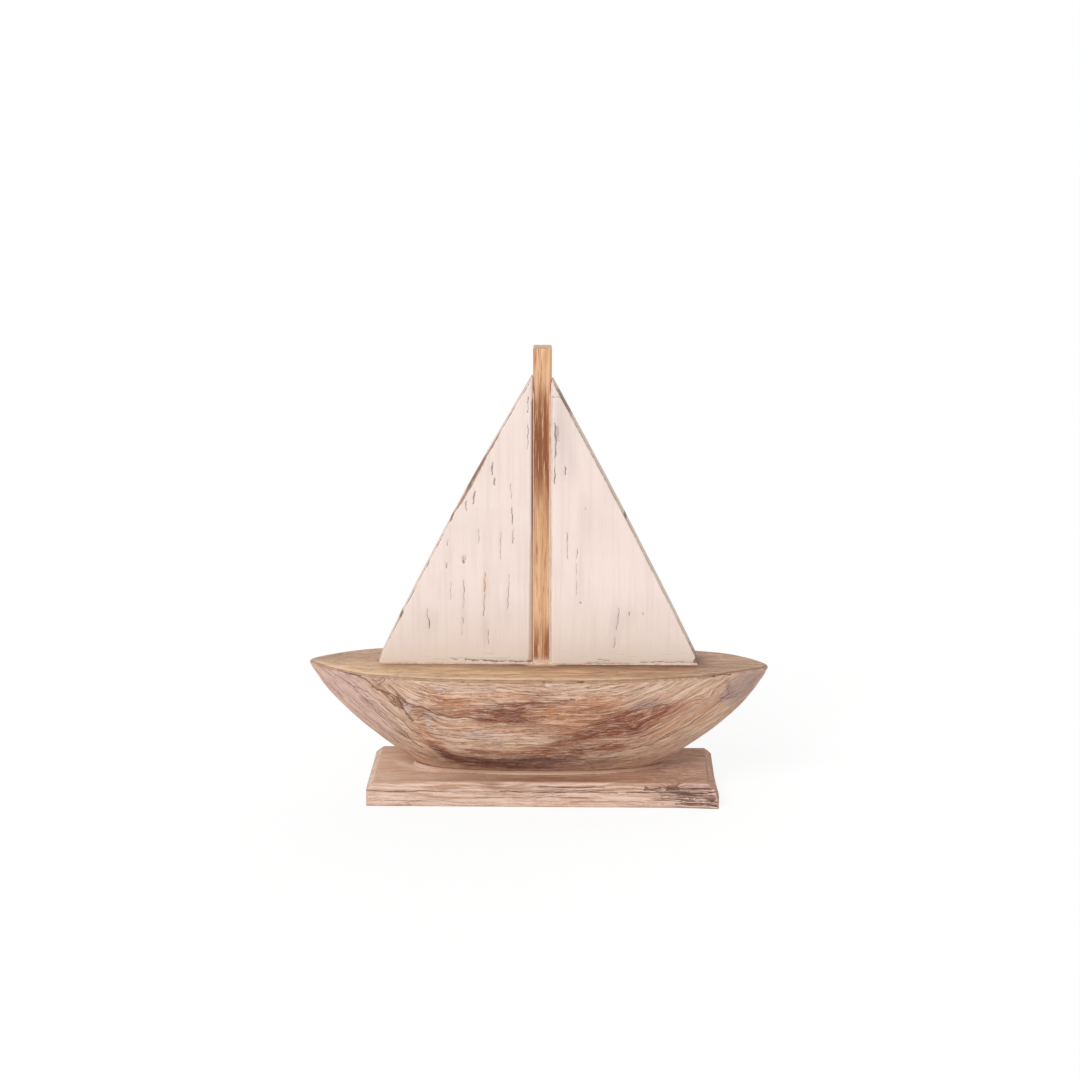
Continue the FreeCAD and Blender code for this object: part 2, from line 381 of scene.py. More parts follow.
HULL_PALE = [
    (-37, 48, 12, 4.5, 0, 1.0), (-85, 66, 2.2, 5.0, -20, 2.6), (-79.5, 69, 2.6, 2.0, -40, 1.4),
    (-69.5, 61.5, 4.5, 2.0, -20, 1.8), (-71.5, 55, 2.0, 3.6, 10, 1.6), (104, 38, 9, 24, -55, 0.5),
    (-44, 78, 30, 4.5, 0, 0.7), (46, 79, 40, 3.6, -2, 0.65), (-20, 45, 22, 4, 0, 0.6),
    (84, 30, 26, 5, 28, 0.8), (92, 74, 14, 4, 0, 0.5), (-30, 66.5, 9, 2.0, 0, 0.8), (4, 69.5, 9, 2.0, 0, 0.5),
    (-52, 58, 14, 2.4, -4, 0.5), (58, 48.0, 8, 2.0, 20, 0.6), (-96, 44, 18, 5, -42, 0.45),
    (70, 42, 16, 3, 25, 0.5),
]
HULL_GREY = [
    (132, 74.0, 11, 7.5, 48, 1.7), (124, 69.5, 6, 3.0, 30, 0.7), (141, 80.0, 7, 5.0, 50, 0.8),
    (70, 69.0, 9, 2.6, 0, 0.9), (20, 24, 26, 2.6, 0, 0.5), (98, 62, 8, 1.6, 10, 0.7), (-70, 58, 4, 3, 0, 0.4),
]
HULL_PINK = [
    (-128, 74, 24, 20, -45, 1.2), (-108, 56, 26, 9, -45, 0.9), (-84, 68, 9, 5, -40, 0.6),
    (-60, 46, 16, 5, -10, 0.35),
]
MAINSAIL_GREY = [
    (-48, 124, 2, 20, 0, 0.5), (-34, 112, 2.5, 12, 0, 0.45), (-70, 114, 5, 10, 0, 0.45),
    (-20, 130, 2, 16, 0, 0.35), (-57, 158, 2, 12, 0, 0.4), (-42, 180, 14, 14, 0, 0.2),
]
MAINSAIL_SAP = [(-34.2, 138, 1.6, 11, 0, 1.3)]
JIB_GREY = [
    (50, 116, 3, 14, 0, 0.5), (27, 146, 2.5, 16, 0, 0.4), (58, 120, 6, 5, 0, 0.3), (14, 240, 5, 26, 0, 0.75),
    (22, 222, 3, 16, 0, 0.45), (40, 92, 30, 4, 0, 0.2), (30, 186, 4, 20, 0, 0.25),
]
# Spots rubbed bare on the mainsail's leech: height, half height, strength.
RUBBED_SPOTS = (
    (232, 3.5, 0.5), (238, 2, 0.4), (213, 15, 0.9), (196, 8, 0.6), (184, 3, 0.6), (120, 4, 0.4), (109, 3, 0.4))
MAINSAIL_CHIPS = [
    (0.40, (-29.3, 222.0), (-29.5, 214.0)), (0.45, (-28.0, 211.4), (-28.2, 207.4)),
    (0.50, (-40.6, 203.0), (-41.4, 195.0)), (0.2, (-46.2, 196.0), (-46.0, 190.0)),
    (0.16, (-17.8, 208.0), (-17.3, 198.0)), (0.24, (-17.0, 192.0), (-16.5, 181.0)),
    (0.16, (-16.2, 178.0), (-16.6, 168.0)), (0.30, (-58.0, 170.6), (-57.9, 166.6)),
    (0.45, (-58.5, 154.6), (-58.7, 151.6)), (0.85, (-47.9, 159.4), (-47.6, 155.4)),
    (0.14, (-47.8, 143.0), (-47.6, 134.0), (-47.9, 124.0)), (0.14, (-48.2, 118.0), (-49.0, 106.0)),
    (0.30, (-34.1, 148.0), (-34.4, 136.0)), (0.22, (-34.6, 133.0), (-35.0, 119.0)),
    (0.13, (-18.5, 147.0), (-19.2, 136.0), (-19.8, 123.0)), (0.30, (-70.2, 117.6), (-69.5, 111.0)),
    (0.16, (-71.2, 124.0), (-71.0, 118.0)), (0.14, (-32.3, 110.0), (-32.0, 100.0)),
    (0.30, (-6.6, 265.0), (-6.8, 255.0)), (0.18, (-6.7, 247.0), (-6.8, 231.0)),
    (0.5, (-47.0, 89.6), (-40.0, 89.2)), (0.3, (-56.0, 90.6), (-52.0, 89.6)),
    (0.55, (-36.0, 89.0), (-24.0, 88.6), (-5.0, 88.5)), (0.22, (-38.0, 89.6), (-29.0, 89.3)),
    (0.12, (-56, 142), (-56.2, 130)), (0.12, (-24, 176), (-24.3, 158)), (0.12, (-38, 178), (-38.2, 168)),
]
JIB_CHIPS = [
    (0.36, (10.6, 248.0), (10.8, 238.0), (11.0, 230.0)), (0.50, (11.0, 240.0), (11.2, 233.0), (10.8, 226.0)),
    (0.30, (10.8, 230.0), (10.5, 218.0), (10.3, 208.0)), (0.14, (12.6, 246.0), (12.8, 236.0)),
    (0.40, (17.0, 219.4), (17.2, 214.4)), (0.12, (18.4, 176.0), (18.6, 158.0)),
    (0.20, (24.9, 165.0), (24.7, 158.6)), (0.25, (30.0, 192.2), (30.0, 191.4)),
    (0.50, (27.0, 129.0), (27.6, 128.4)), (0.10, (24.3, 155.0), (24.6, 134.0)),
    (0.14, (51.7, 125.0), (51.0, 116.0), (50.0, 110.0)), (0.16, (49.4, 105.0), (48.6, 98.0)),
    (0.28, (58.2, 122.6), (58.0, 120.6)), (0.28, (67.3, 121.8), (67.4, 120.6)),
    (0.20, (8.9, 265.6), (10.5, 264.6), (13.0, 265.4), (15.0, 265.0)), (0.20, (30.0, 87.6), (60.0, 87.4)),
    (0.22, (66.0, 88.4), (80.0, 88.7), (99.0, 88.6)), (0.12, (38.0, 90.2), (46.0, 89.6)),
]
BOARD_DARK = [
    (112, 6, 16, 8, 0, 1.0), (90, 8, 16, 5, 0, 0.55), (-22, 13, 24, 2.0, 0, 0.5), (84, 13, 16, 2.6, 0, 0.5),
    (20, 11.6, 26, 1.4, 0, 0.4), (-98, 10.4, 20, 1.4, 0, 0.3), (104, 11.5, 14, 3.0, 0, 0.6),
]
BOARD_LIGHT = [(-104, 12, 12, 4, 0, 0.5), (-64, 5, 40, 3.5, 0, 0.35)]
BOARD_PALE = [(-84, 15, 8, 3, 0, 0.8), (20, 12, 60, 3, 0, 0.4)]
BOARD_CRACKS = [
    (0.30, (70.0, 12.6), (76.0, 12.2), (80.0, 13.0)), (0.60, (85.0, 13.8), (88.0, 14.4), (91.0, 13.6)),
    (0.40, (91.0, 15.0), (94.0, 15.6)), (0.45, (70.6, 13.4), (71.6, 12.8)),
    (0.35, (76.0, 5.0), (92.0, 5.6), (112.0, 4.6)), (0.40, (80.0, 8.2), (96.0, 8.8), (114.0, 7.8)),
    (0.35, (90.0, 2.4), (114.0, 2.8)), (0.3, (98.0, 6.6), (114.0, 6.4)),
    (0.30, (58.0, 10.4), (84.0, 10.8), (112.0, 10.6)), (0.3, (84.0, 12.6), (100.0, 12.4), (112.0, 12.8)),
    (0.22, (-112.0, 10.6), (-92.0, 10.2), (-76.0, 10.6), (-60.0, 10.1)), (0.14, (-60.0, 10.1), (-20.0, 10.4)),
    (0.26, (-24.0, 10.9), (2.0, 10.1), (30.0, 10.5), (52.0, 10.0)),
    (0.16, (0.0, 13.4), (24.0, 12.9), (44.0, 13.3)), (0.14, (-40, 6.4), (10, 7.0), (30, 6.6)),
    (0.12, (40, 4.2), (70, 3.8)), (0.10, (-100, 4.0), (-60, 3.6)), (0.2, (-86.0, 0.8), (-82.0, 0.9)),
]


# ---------------------------------------------------------------- fine meshes


def scene_object(name, mesh):
    thing = bpy.data.objects.new(name, mesh)
    bpy.context.scene.collection.objects.link(thing)
    return thing


def evaluated_mesh(thing):
    """The object's finished mesh, with its modifiers worked in and its attributes kept."""
    graph = bpy.context.evaluated_depsgraph_get()
    return bpy.data.meshes.new_from_object(
        thing.evaluated_get(graph), preserve_all_data_layers=True, depsgraph=graph)


def solid_copy(node):
    """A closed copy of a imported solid, its loose triangles merged."""
    form = bmesh.new()
    form.from_mesh(frame["nodes"][node].data)
    bmesh.ops.remove_doubles(form, verts=form.verts, dist=1e-6)
    mesh = bpy.data.meshes.new(node + "_solid")
    form.to_mesh(mesh)
    return mesh, form


def sharp_edge_tree(form, step):
    """A search tree of points set along the solid's sharp edges."""
    spots = []
    for edge in form.edges:
        if len(edge.link_faces) == 2 and edge.calc_face_angle(0.0) > math.radians(20):
            start, end = (vertex.co for vertex in edge.verts)
            count = max(1, int((end - start).length / step))
            spots += [start.lerp(end, share / count) for share in range(count + 1)]
    tree = kdtree.KDTree(len(spots))
    for number, spot in enumerate(spots):
        tree.insert(spot, number)
    tree.balance()
    return tree


def fine_mesh(node, cell):
    """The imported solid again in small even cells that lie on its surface."""
    mesh, form = solid_copy(node)
    edges = sharp_edge_tree(form, 0.1 * MM)
    form.free()
    solid = scene_object(node + "_solid", mesh)
    fine = scene_object(node + "_cells", mesh.copy())
    cells = fine.modifiers.new("cells", "REMESH")
    cells.mode = "VOXEL"
    cells.voxel_size = cell
    wrap = fine.modifiers.new("wrap", "SHRINKWRAP")
    wrap.wrap_method = "NEAREST_SURFACEPOINT"
    wrap.target = solid
    result = evaluated_mesh(fine)
    bpy.data.batch_remove((solid, fine, solid.data, fine.data))
    count = len(result.vertices)
    points, faces, arris = np.empty(count * 3), np.empty(count * 3), np.empty(count)
    result.vertex_normals.foreach_get("vector", faces)
    for number, vertex in enumerate(result.vertices):
        spot, _, gap = edges.find(vertex.co)
        if gap < 0.4 * cell:
            vertex.co, gap = spot, 0.0
        arris[number] = gap / MM
    result.vertices.foreach_get("co", points)
    return result, points.reshape(-1, 3) / MM, faces.reshape(-1, 3), arris


def store(mesh, name, values):
    """Keeps a value, or a vector, for each point of the mesh."""
    values = np.asarray(values, dtype=np.float32)
    kind, field = ("FLOAT_VECTOR", "vector") if values.ndim == 2 else ("FLOAT", "value")
    mesh.attributes.new(name, kind, "POINT").data.foreach_set(field, values.ravel())


def open_tree(name, numbers, vectors=()):
    """Starts a geometry node tree with named inputs; gives back its builder and the inputs' values."""
    tree = bpy.data.node_groups.new(name, "GeometryNodeTree")
    kinds = {"Geometry": "Geometry", **dict.fromkeys(numbers, "Float"), **dict.fromkeys(vectors, "Vector")}
    for title, kind in {**kinds, "Seed": "Float", "Finish": "Material"}.items():
        tree.interface.new_socket(title, in_out="INPUT", socket_type="NodeSocket" + kind)
    tree.interface.new_socket("Geometry", in_out="OUTPUT", socket_type="NodeSocketGeometry")
    nodes = Nodes(tree)
    group = tree.nodes.new("NodeGroupInput")
    return nodes, {socket.name: Level(nodes, socket) for socket in group.outputs if socket.name}


def close_tree(nodes, shape, finish):
    """Smooths the shape, makes it real, paints it and ends its node tree."""
    smooth = nodes.add("GeometryNodeSetShadeSmooth", {}, {"Geometry": shape, "Shade Smooth": True})
    real = nodes.add("GeometryNodeRealizeInstances", {}, {"Geometry": smooth})
    painted = nodes.add("GeometryNodeSetMaterial", {}, {"Geometry": real, "Material": finish})
    end = nodes.tree.nodes.new("NodeGroupOutput")
    nodes.tree.links.new(painted.socket, end.inputs[0])
    return nodes.tree


def relief_tree():
    """Geometry nodes that cut grain, dents, worn arrises and cracks into a fine mesh."""
    if "carved relief" in bpy.data.node_groups:
        return bpy.data.node_groups["carved relief"]
    nodes, given = open_tree(
        "carved relief", ("Ridge Depth", "Dent Depth", "Arris Width", "Arris Wear", "Crack Depth", "Proud"),
        ("Ridge Cells", "Dent Cells"))

    def stored(name, kind):
        return nodes.add(
            "GeometryNodeInputNamedAttribute", {"data_type": kind}, {"Name": name}, output="Attribute")

    grain = stored("grain", "FLOAT_VECTOR")
    place = nodes.scaled(nodes.add("GeometryNodeInputPosition"), (1 / MM, 1 / MM, 1 / MM))
    crack, arris, keep = stored("edges", "FLOAT_VECTOR").parts()
    ridge = nodes.noise(grain, given["Ridge Cells"], given["Seed"], detail=3.0, roughness=0.6)
    dent = nodes.noise(place, given["Dent Cells"], given["Seed"] + 7.0, detail=2.0)
    nibble = nodes.noise(place, (0.35, 0.35, 0.35), given["Seed"] + 3.0, detail=3.0)
    worn = (1 - arris / given["Arris Width"]).clipped()
    split = 1 - crack.between(-0.1, 0.6)
    sunk = (
        ridge * given["Ridge Depth"] + dent * given["Dent Depth"]
        + worn * worn * nibble * given["Arris Wear"] + split * given["Crack Depth"] - given["Proud"]
    ) * keep
    inward = nodes.add("ShaderNodeVectorMath", {"operation": "SCALE"}, {
        "Vector": stored("face", "FLOAT_VECTOR"), "Scale": sunk * -1.0})
    moved = nodes.add("GeometryNodeSetPosition", {}, {"Geometry": given["Geometry"], "Offset": inward})
    return close_tree(nodes, moved, given["Finish"])


def with_inputs(thing, tree, values):
    """Hangs a geometry node tree on an object and sets its inputs by their identifiers."""
    modifier = thing.modifiers.new(tree.name, "NODES")
    modifier.node_group = tree
    for item in tree.interface.items_tree:
        if item.in_out == "INPUT" and item.name in values:
            modifier[item.identifier] = values[item.name]
    return modifier


def weld(mesh):
    """Merges doubled points and turns all faces outwards."""
    form = bmesh.new()
    form.from_mesh(mesh)
    bmesh.ops.remove_doubles(form, verts=form.verts, dist=1e-7)
    bmesh.ops.recalc_face_normals(form, faces=form.faces)
    form.to_mesh(mesh)
    form.free()


def finished_piece(name, rough, tree, values, node=None, slot=None):
    """Works the node tree into a plain mesh, and lets the piece ride on the body."""
    with_inputs(rough, tree, values)
    mesh = evaluated_mesh(rough)
    mesh.name = name
    if not mesh.polygons:
        raise RuntimeError(f"{name} came out empty")
    bpy.data.batch_remove((rough, rough.data))
    if not node:
        weld(mesh)
    if values["Finish"].name not in [material.name for material in mesh.materials if material]:
        mesh.materials.append(values["Finish"])
    piece = scene_object(name, mesh)
    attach(piece, BODY)
    if node:
        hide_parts(node)
    slot or node
    return piece


def carve(name, node, cell, grain, stains, tints, cracks, keep, finish, relief, shape=None):
    """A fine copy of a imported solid, marked, carved and painted."""
    mesh, points, faces, arris = fine_mesh(node, cell)
    if shape:
        mesh.vertices.foreach_set("co", (shape(points) * MM).ravel())
    nearest, way = cracks(points, faces)
    store(mesh, "grain", grain(points, faces))
    store(mesh, "face", faces)
    store(mesh, "stains", np.column_stack(stains(points, faces)))
    store(mesh, "tints", np.column_stack(tints(points, faces)))
    store(mesh, "cracks", way)
    store(mesh, "edges", np.column_stack((nearest, arris, keep(points, faces))))
    rough = scene_object(name + "_rough", mesh)
    return finished_piece(name, rough, relief_tree(), {**relief, "Finish": finish}, node)


# ---------------------------------------------------------------- hull


class HullSettings(bpy.types.PropertyGroup):
    """Sizes and colours of the carved hull."""
    cell: length("Cell", "Size of the mesh cells", 0.95 * MM, 0.5 * MM)
    tool_marks: length("Tool marks", "Depth of the knife's shallow dents", 0.5 * MM, 0.0)
    grain_depth: length("Grain depth", "Depth of the raised grain", 0.22 * MM, 0.0)
    wood: tint("Wood", "Bare wood of the sides", 228, 193, 166)
    deck: tint("Deck", "Waxed wood of the deck", 212, 176, 142)
    wash: tint("Lime wash", "Pale wash left in the grain", 228, 202, 192)
    stain: tint("Stain", "Red-brown heartwood patches", 156, 94, 66)
    crack: tint("Cracks", "Inside of the cracks", 108, 74, 60)


def hull_wood(given):
    """Carved wood: limewash in the grain, red-brown patches, knots and cracks."""
    wood = Finish("limewashed hull wood", Specular_IOR_Level=0.25)
    flow = wood.bent(wood.attribute("grain"), 2.4, 8.0)
    red, dark, orange = wood.attribute("stains").parts()
    pale, grey, pink = wood.attribute("tints").parts()
    arris = wood.attribute("edges").parts()[1]
    deck = wood.attribute("face").parts()[2].between(0.55, 0.8)
    place = wood.place()
    along, across, _ = place.parts()
    fibre = wood.noise(flow, (0.07, 1.3, 1.3), 1.0, detail=4.0, roughness=0.7, distortion=0.1)
    band = wood.noise(flow, (0.013, 0.13, 0.13), 2.0, detail=4.0, roughness=0.6, distortion=0.4)
    streak = wood.noise(flow, (0.03, 0.55, 0.55), 3.0, detail=5.0, roughness=0.68, distortion=0.1)
    cloud = wood.noise(place, (0.05, 0.05, 0.05), 4.0, detail=3.0)
    blot = wood.noise(flow, (0.08, 0.5, 0.5), 5.0, detail=5.0, roughness=0.72, distortion=0.3)
    fleck = wood.noise(flow, (0.2, 0.9, 0.9), 6.0, detail=4.0, roughness=0.7, distortion=0.3)
    gaps = wood.noise(place, (0.16, 0.16, 0.16), 7.0, detail=3.0, roughness=0.6)
    lines = 1 - abs(streak - 0.5).between(0.0, 0.018)
    loops = 1 - abs(blot - 0.5).between(0.0, 0.022)

    side = wood.mix(band.between(0.38, 0.64), given.wood, paint(213, 168, 137))
    side = wood.coats(side, (
        (cloud.between(0.42, 0.62) * 0.5, paint(226, 190, 160)),
        ((orange * (0.45 + 0.9 * streak)).clipped() * 0.9, paint(210, 148, 104)),
    ))
    calm = (1 - along.between(84.0, 124.0) * 0.5) * (0.55 + 0.45 * along.between(-130.0, -50.0))
    side = wood.coats(side, (
        (streak.between(0.5, 0.62) * 0.5 * calm, paint(184, 130, 102)),
        ((1 - streak.between(0.38, 0.48)) * 0.4, paint(240, 214, 194)),
        ((pink * (0.7 + 0.5 * band)).clipped() * 0.9, paint(220, 185, 173)),
    ))
    redness = (red * (0.3 + 1.4 * blot.between(0.32, 0.62))).clipped()
    side = wood.coats(side, (
        (redness * 0.95, given.stain),
        (redness * streak.between(0.48, 0.6) * 0.75, paint(118, 66, 50)),
        (lines * pink.clipped() * 0.35, paint(160, 110, 98)),
    ))
    gloom = (dark * (0.5 + 0.8 * blot.between(0.32, 0.62))).clipped()
    side = wood.coats(side, (
        (gloom * 0.95, paint(120, 74, 60)),
        (gloom * fibre.between(0.46, 0.56) * 0.7, paint(84, 52, 46)),
        (lines * 0.4 * calm, paint(146, 94, 74)),
        (loops * gaps.between(0.4, 0.6) * 0.25, paint(138, 88, 68)),
        (fibre.between(0.53, 0.62) * 0.55 * calm, paint(160, 108, 84)),
    ))
    held = 1 - gloom * 0.6 - redness * 0.25
    side = wood.mix((1 - fibre.between(0.38, 0.47)) * 0.6 * held * calm, side, paint(242, 216, 200))
    spots = (pale - 0.3).clipped() * 0.7 * blot.between(0.36, 0.5)
    wash = (fleck.between(0.53, 0.62) * (0.45 + 0.6 * pale) + spots).clipped()
    side = wood.coats(side, (
        (wash * 0.9 * held, given.wash),
        (grey.clipped() * (0.6 + 0.3 * blot), paint(184, 155, 148)),
    ))

    near = 1 - across.between(-12.0, 4.0)
    away = (abs(across) - 7.0).at_least(0.0)
    top = wood.mix(near, paint(192, 158, 134), given.deck)
    top = wood.coats(top, (
        # The near deck darkens towards the right: partly its own tone and partly painted shade.
        (along.between(-20.0, 110.0) * near * 0.85, paint(170, 131, 106)),
        ((1 - along.between(-90.0, 10.0)) * near * 0.55, paint(232, 198, 164)),
        (band.between(0.4, 0.6) * (0.15 + 0.3 * near), paint(206, 162, 120)),
        (streak.between(0.5, 0.62) * 0.5, paint(168, 126, 94)),
        ((1 - streak.between(0.38, 0.48)) * 0.4, paint(228, 192, 158)),
        (lines * 0.45, paint(160, 116, 86)),
        (fibre.between(0.52, 0.64) * 0.55, paint(158, 116, 90)),
    ))
    # Painted shadow of the sails on the deck: a dark band along both sides of their feet, fainter towards the
    # left.
    sailed = along.between(-106.0, -98.0) * (1 - along.between(102.0, 122.0))
    foot = (1 - away.between(1.0, 15.0)) * sailed * (0.55 + 0.45 * along.between(-70.0, 20.0))
    top = wood.coats(top, (
        (foot * (0.7 + 0.6 * cloud), paint(136, 98, 76)),
        # The deck's right end is darker: partly its own tone and partly painted shade.
        (along.between(96.0, 118.0) * (0.75 - 0.45 * (1 - near)), paint(166, 132, 110)),
        ((1 - along.between(-148.0, -132.0)) * 0.5, paint(190, 156, 134)),
    ))

    colour = wood.mix(deck, side, top)
    # Painted highlight along the deck's near edge where it rounds over, broken by noise and mostly gone towards
    # the right.
    strip = arris.between(0.4, 1.2) * (1 - arris.between(3.0, 7.5)) * near * deck
    strip *= 1 - along.between(30.0, 80.0) * 0.85
    colour = wood.mix(strip * (0.4 + 0.8 * gaps), colour, paint(236, 202, 167))
    line = 1 - (arris + 2.0 * (gaps - 0.42)).between(0.1, 0.6)
    colour = wood.mix(line * 0.5, colour, paint(156, 106, 80))
    split = wood.cracks(2.8 * (gaps - 0.46) + 1.8 * (fleck - 0.5))
    inside = wood.mix(streak.between(0.45, 0.55), given.crack, paint(136, 82, 66))
    colour = wood.mix(split * 0.8, colour, inside)
    roughness = 0.62 + 0.2 * fleck - 0.12 * deck
    height = fibre * 0.7 + fleck * 0.3 + blot * 0.3 + lines * -0.35 - split * 0.6
    return wood.finish(colour, roughness, height, 0.6 * MM)


def hull_grain(points, faces):
    """Runs along the hull amidships, and bends up with the stems towards both ends."""
    along, across, up = points.T
    lift = 7.2 * np.log1p(np.exp((-along - 82) / 8)) + 8.4 * np.log1p(np.exp((along - 70) / 13))
    deck = np.clip((faces[:, 2] - 0.5) / 0.35, 0, 1)
    waves = 0.8 * np.sin(along / 19 + up / 11) + 0.3 * np.sin(along / 8.3 - up / 6 + 2)
    knots = patches(points, [(-85, 66, 7, 5, -40, 3.0), (-71, 57, 6, 4, -10, -3.5), (61, 51, 8, 4, 0, 3.5),
                             (111, 71, 6, 4, 0, 4.0)])
    return np.column_stack((
        along, deck * across + (1 - deck) * 0.1 * across,
        (1 - deck) * (up - lift + waves + knots) + deck * 0.2 * up + 0.4 * waves * deck))


class BOAT_OT_carve_hull(bpy.types.Operator):
    """Carve the hull with its deck, grain, cracks and limewash"""
    bl_idname = "boat.carve_hull"
    bl_label = "Carve the hull"

    def execute(self, context):
        given = context.scene.boat_hull

        def hand_cut(points):
            """The bow tip sits a little low, and each stem is cut a little hollow or full by eye."""
            moved = points.copy()
            along, _, up = points.T
            moved[:, 2] -= 2.0 * np.clip((along - 118) / 32, 0, 1) ** 2 * (up > 40)
            stern = np.clip((-along - 50) / 60, 0, 1)
            moved[:, 0] += 1.7 * stern * np.interp(up, [17, 28, 40, 80, 86.5], [0, 0.7, 1, 1, 0])
            bow = np.clip((along - 50) / 60, 0, 1)
            moved[:, 0] += bow * np.interp(
                up, [17, 28, 40, 58, 68, 76, 83, 86.5], [0, 1.1, 1.6, 1.6, 0, -0.9, -0.9, 0])
            tip = np.clip((np.abs(along) - 104) / 46, 0, 1) * np.clip((up - 60) / 20, 0, 1)
            moved[:, 1] *= 1 - np.where(along < 0, 0.42, 0.2) * tip ** 2.2
            moved[:, 0] += np.sign(along) * 0.9 * tip ** 8
            return moved

        carve(
            "hull_carved", "hull", given.cell, hull_grain,
            lambda points, faces: (
                patches(points, HULL_RED), patches(points, HULL_DARK), patches(points, HULL_ORANGE)),
            lambda points, faces: (
                patches(points, HULL_PALE), patches(points, HULL_GREY), patches(points, HULL_PINK)),
            lambda points, faces: strokes(points, HULL_CRACKS, 0.28, faces[:, 2] < 0.8),
            lambda points, faces: (0.25 + 0.75 * np.clip((0.95 - faces[:, 2]) / 0.4, 0, 1))
            * np.clip((150.5 - np.abs(points[:, 0])) / 16, 0.1, 1),
            hull_wood(given),
            {
                "Ridge Cells": (0.05, 0.42, 0.42), "Ridge Depth": given.grain_depth,
                "Dent Cells": (0.035, 0.06, 0.06), "Dent Depth": given.tool_marks,
                "Arris Width": 1.6, "Arris Wear": 0.45 * MM, "Crack Depth": 0.35 * MM, "Proud": 0.3 * MM,
                "Seed": 11.0,
            },
            hand_cut,
        )
        return {"FINISHED"}


# ---------------------------------------------------------------- base board


class BoardSettings(bpy.types.PropertyGroup):
    """Sizes and colours of the base board."""
    cell: length("Cell", "Size of the mesh cells", 0.9 * MM, 0.5 * MM)
    saw_marks: length("Saw marks", "Depth of the sawn ridges along the edges", 0.75 * MM, 0.0)
    wood: tint("Wood", "Planed top of the board", 206, 169, 141)
    edge: tint("Edge", "Pale sawn edges", 235, 205, 188)
    dark: tint("Dark end", "Dark rough corner", 128, 92, 80)


def board_wood(given):
    """Sawn wood: a planed top, pale ridged edges and one dark rough end."""
    wood = Finish("sawn board wood", Specular_IOR_Level=0.2)
    grain = wood.bent(wood.attribute("grain"), 2.4, 10.0)
    rough, dark, light = wood.attribute("stains").parts()
    pale = wood.attribute("tints").parts()[0]
    arris = wood.attribute("edges").parts()[1]
    endways, _, upward = wood.attribute("face").parts()
    along = wood.place().parts()[0]
    top = upward.between(0.8, 0.97)
    side = 1 - upward.between(0.1, 0.5)
    fibre = wood.noise(grain, (0.045, 1.5, 1.5), 11.0, detail=4.0, roughness=0.7)
    band = wood.noise(grain, (0.012, 0.2, 0.2), 12.0, detail=3.0, distortion=0.5)
    saw = wood.noise(grain, (0.026, 0.6, 0.85), 13.0, detail=4.0, roughness=0.65)
    streak = wood.noise(grain, (0.03, 0.45, 0.45), 16.0, detail=4.0, roughness=0.6)
    speck = wood.noise(grain, (0.22, 1.2, 1.2), 14.0, detail=4.0, roughness=0.7)
    gaps = wood.noise(grain, (0.08, 0.2, 0.2), 15.0, detail=3.0)
    lines = 1 - abs(streak - 0.5).between(0.0, 0.02)
    planed = wood.mix(band.between(0.38, 0.62), given.wood, paint(198, 156, 126))
    planed = wood.coats(planed, (
        # The top darkens towards the right: partly the wood's tone and partly painted shade.
        (along.between(-20.0, 90.0) * 0.75, paint(174, 132, 108)),
        # Band along the middle of the top: partly stain and partly painted shadow of the hull.
        ((rough * (0.5 + 0.8 * streak)).clipped(), paint(146, 102, 82)),
        (streak.between(0.5, 0.64) * 0.4, paint(158, 114, 90)),
        ((1 - streak.between(0.36, 0.48)) * 0.35, paint(224, 190, 162)),
        (lines * 0.35, paint(150, 106, 84)),
        (fibre.between(0.52, 0.63) * 0.5, paint(150, 108, 86)),
        ((1 - fibre.between(0.36, 0.46)) * 0.3, paint(226, 194, 168)),
    ))
    sawn = wood.mix(saw.between(0.44, 0.58), given.edge, paint(214, 176, 152))
    sawn = wood.coats(sawn, (
        (saw.between(0.56, 0.62) * 0.6, paint(172, 124, 100)),
        (lines * side * 0.5, paint(150, 98, 78)),
        (fibre.between(0.54, 0.64) * 0.5, paint(166, 122, 100)),
        ((1 - fibre.between(0.34, 0.45)) * 0.7, paint(242, 220, 206)),
        ((1 - side) * streak.between(0.44, 0.58) * 0.8, paint(178, 136, 110)),
    ))
    colour = wood.mix(top, sawn, planed)
    colour = wood.coats(colour, (
        ((light * 0.85).clipped() * (1.9 * gaps - 0.3 + 0.6 * (speck - 0.5)).clipped(), paint(242, 222, 206)),
        ((dark * (0.2 + 0.8 * saw.between(0.4, 0.56))).clipped() * 0.9, given.dark),
        (dark.clipped() * (1 - fibre.between(0.42, 0.5)), paint(232, 204, 190)),
        (dark.clipped() * fibre.between(0.53, 0.59) * 0.9, paint(88, 58, 50)),
        # The right end's faces are darker: partly the wood's tone and partly painted shade, as that end faces
        # away from the key lamp.
        (abs(endways).between(0.3, 0.6) * along.between(80.0, 100.0) * 0.45, paint(170, 128, 106)),
        (speck.between(0.55, 0.68) * (0.35 + 0.3 * pale), paint(236, 212, 196)),
        ((1 - arris.between(0.0, 0.8)) * gaps.between(0.45, 0.6) * 0.5, paint(206, 162, 130)),
    ))
    split = wood.cracks(3.0 * (gaps - 0.46) + 1.6 * (speck - 0.5))
    inside = wood.mix(gaps.between(0.4, 0.55), paint(98, 64, 52), paint(150, 100, 78))
    colour = wood.mix(split * 0.75, colour, inside)
    roughness = 0.68 + 0.2 * speck
    height = fibre * 0.5 + speck * 0.3 - saw * 1.4 * (1 - top) - split * 0.8
    return wood.finish(colour, roughness, height, 0.6 * MM)


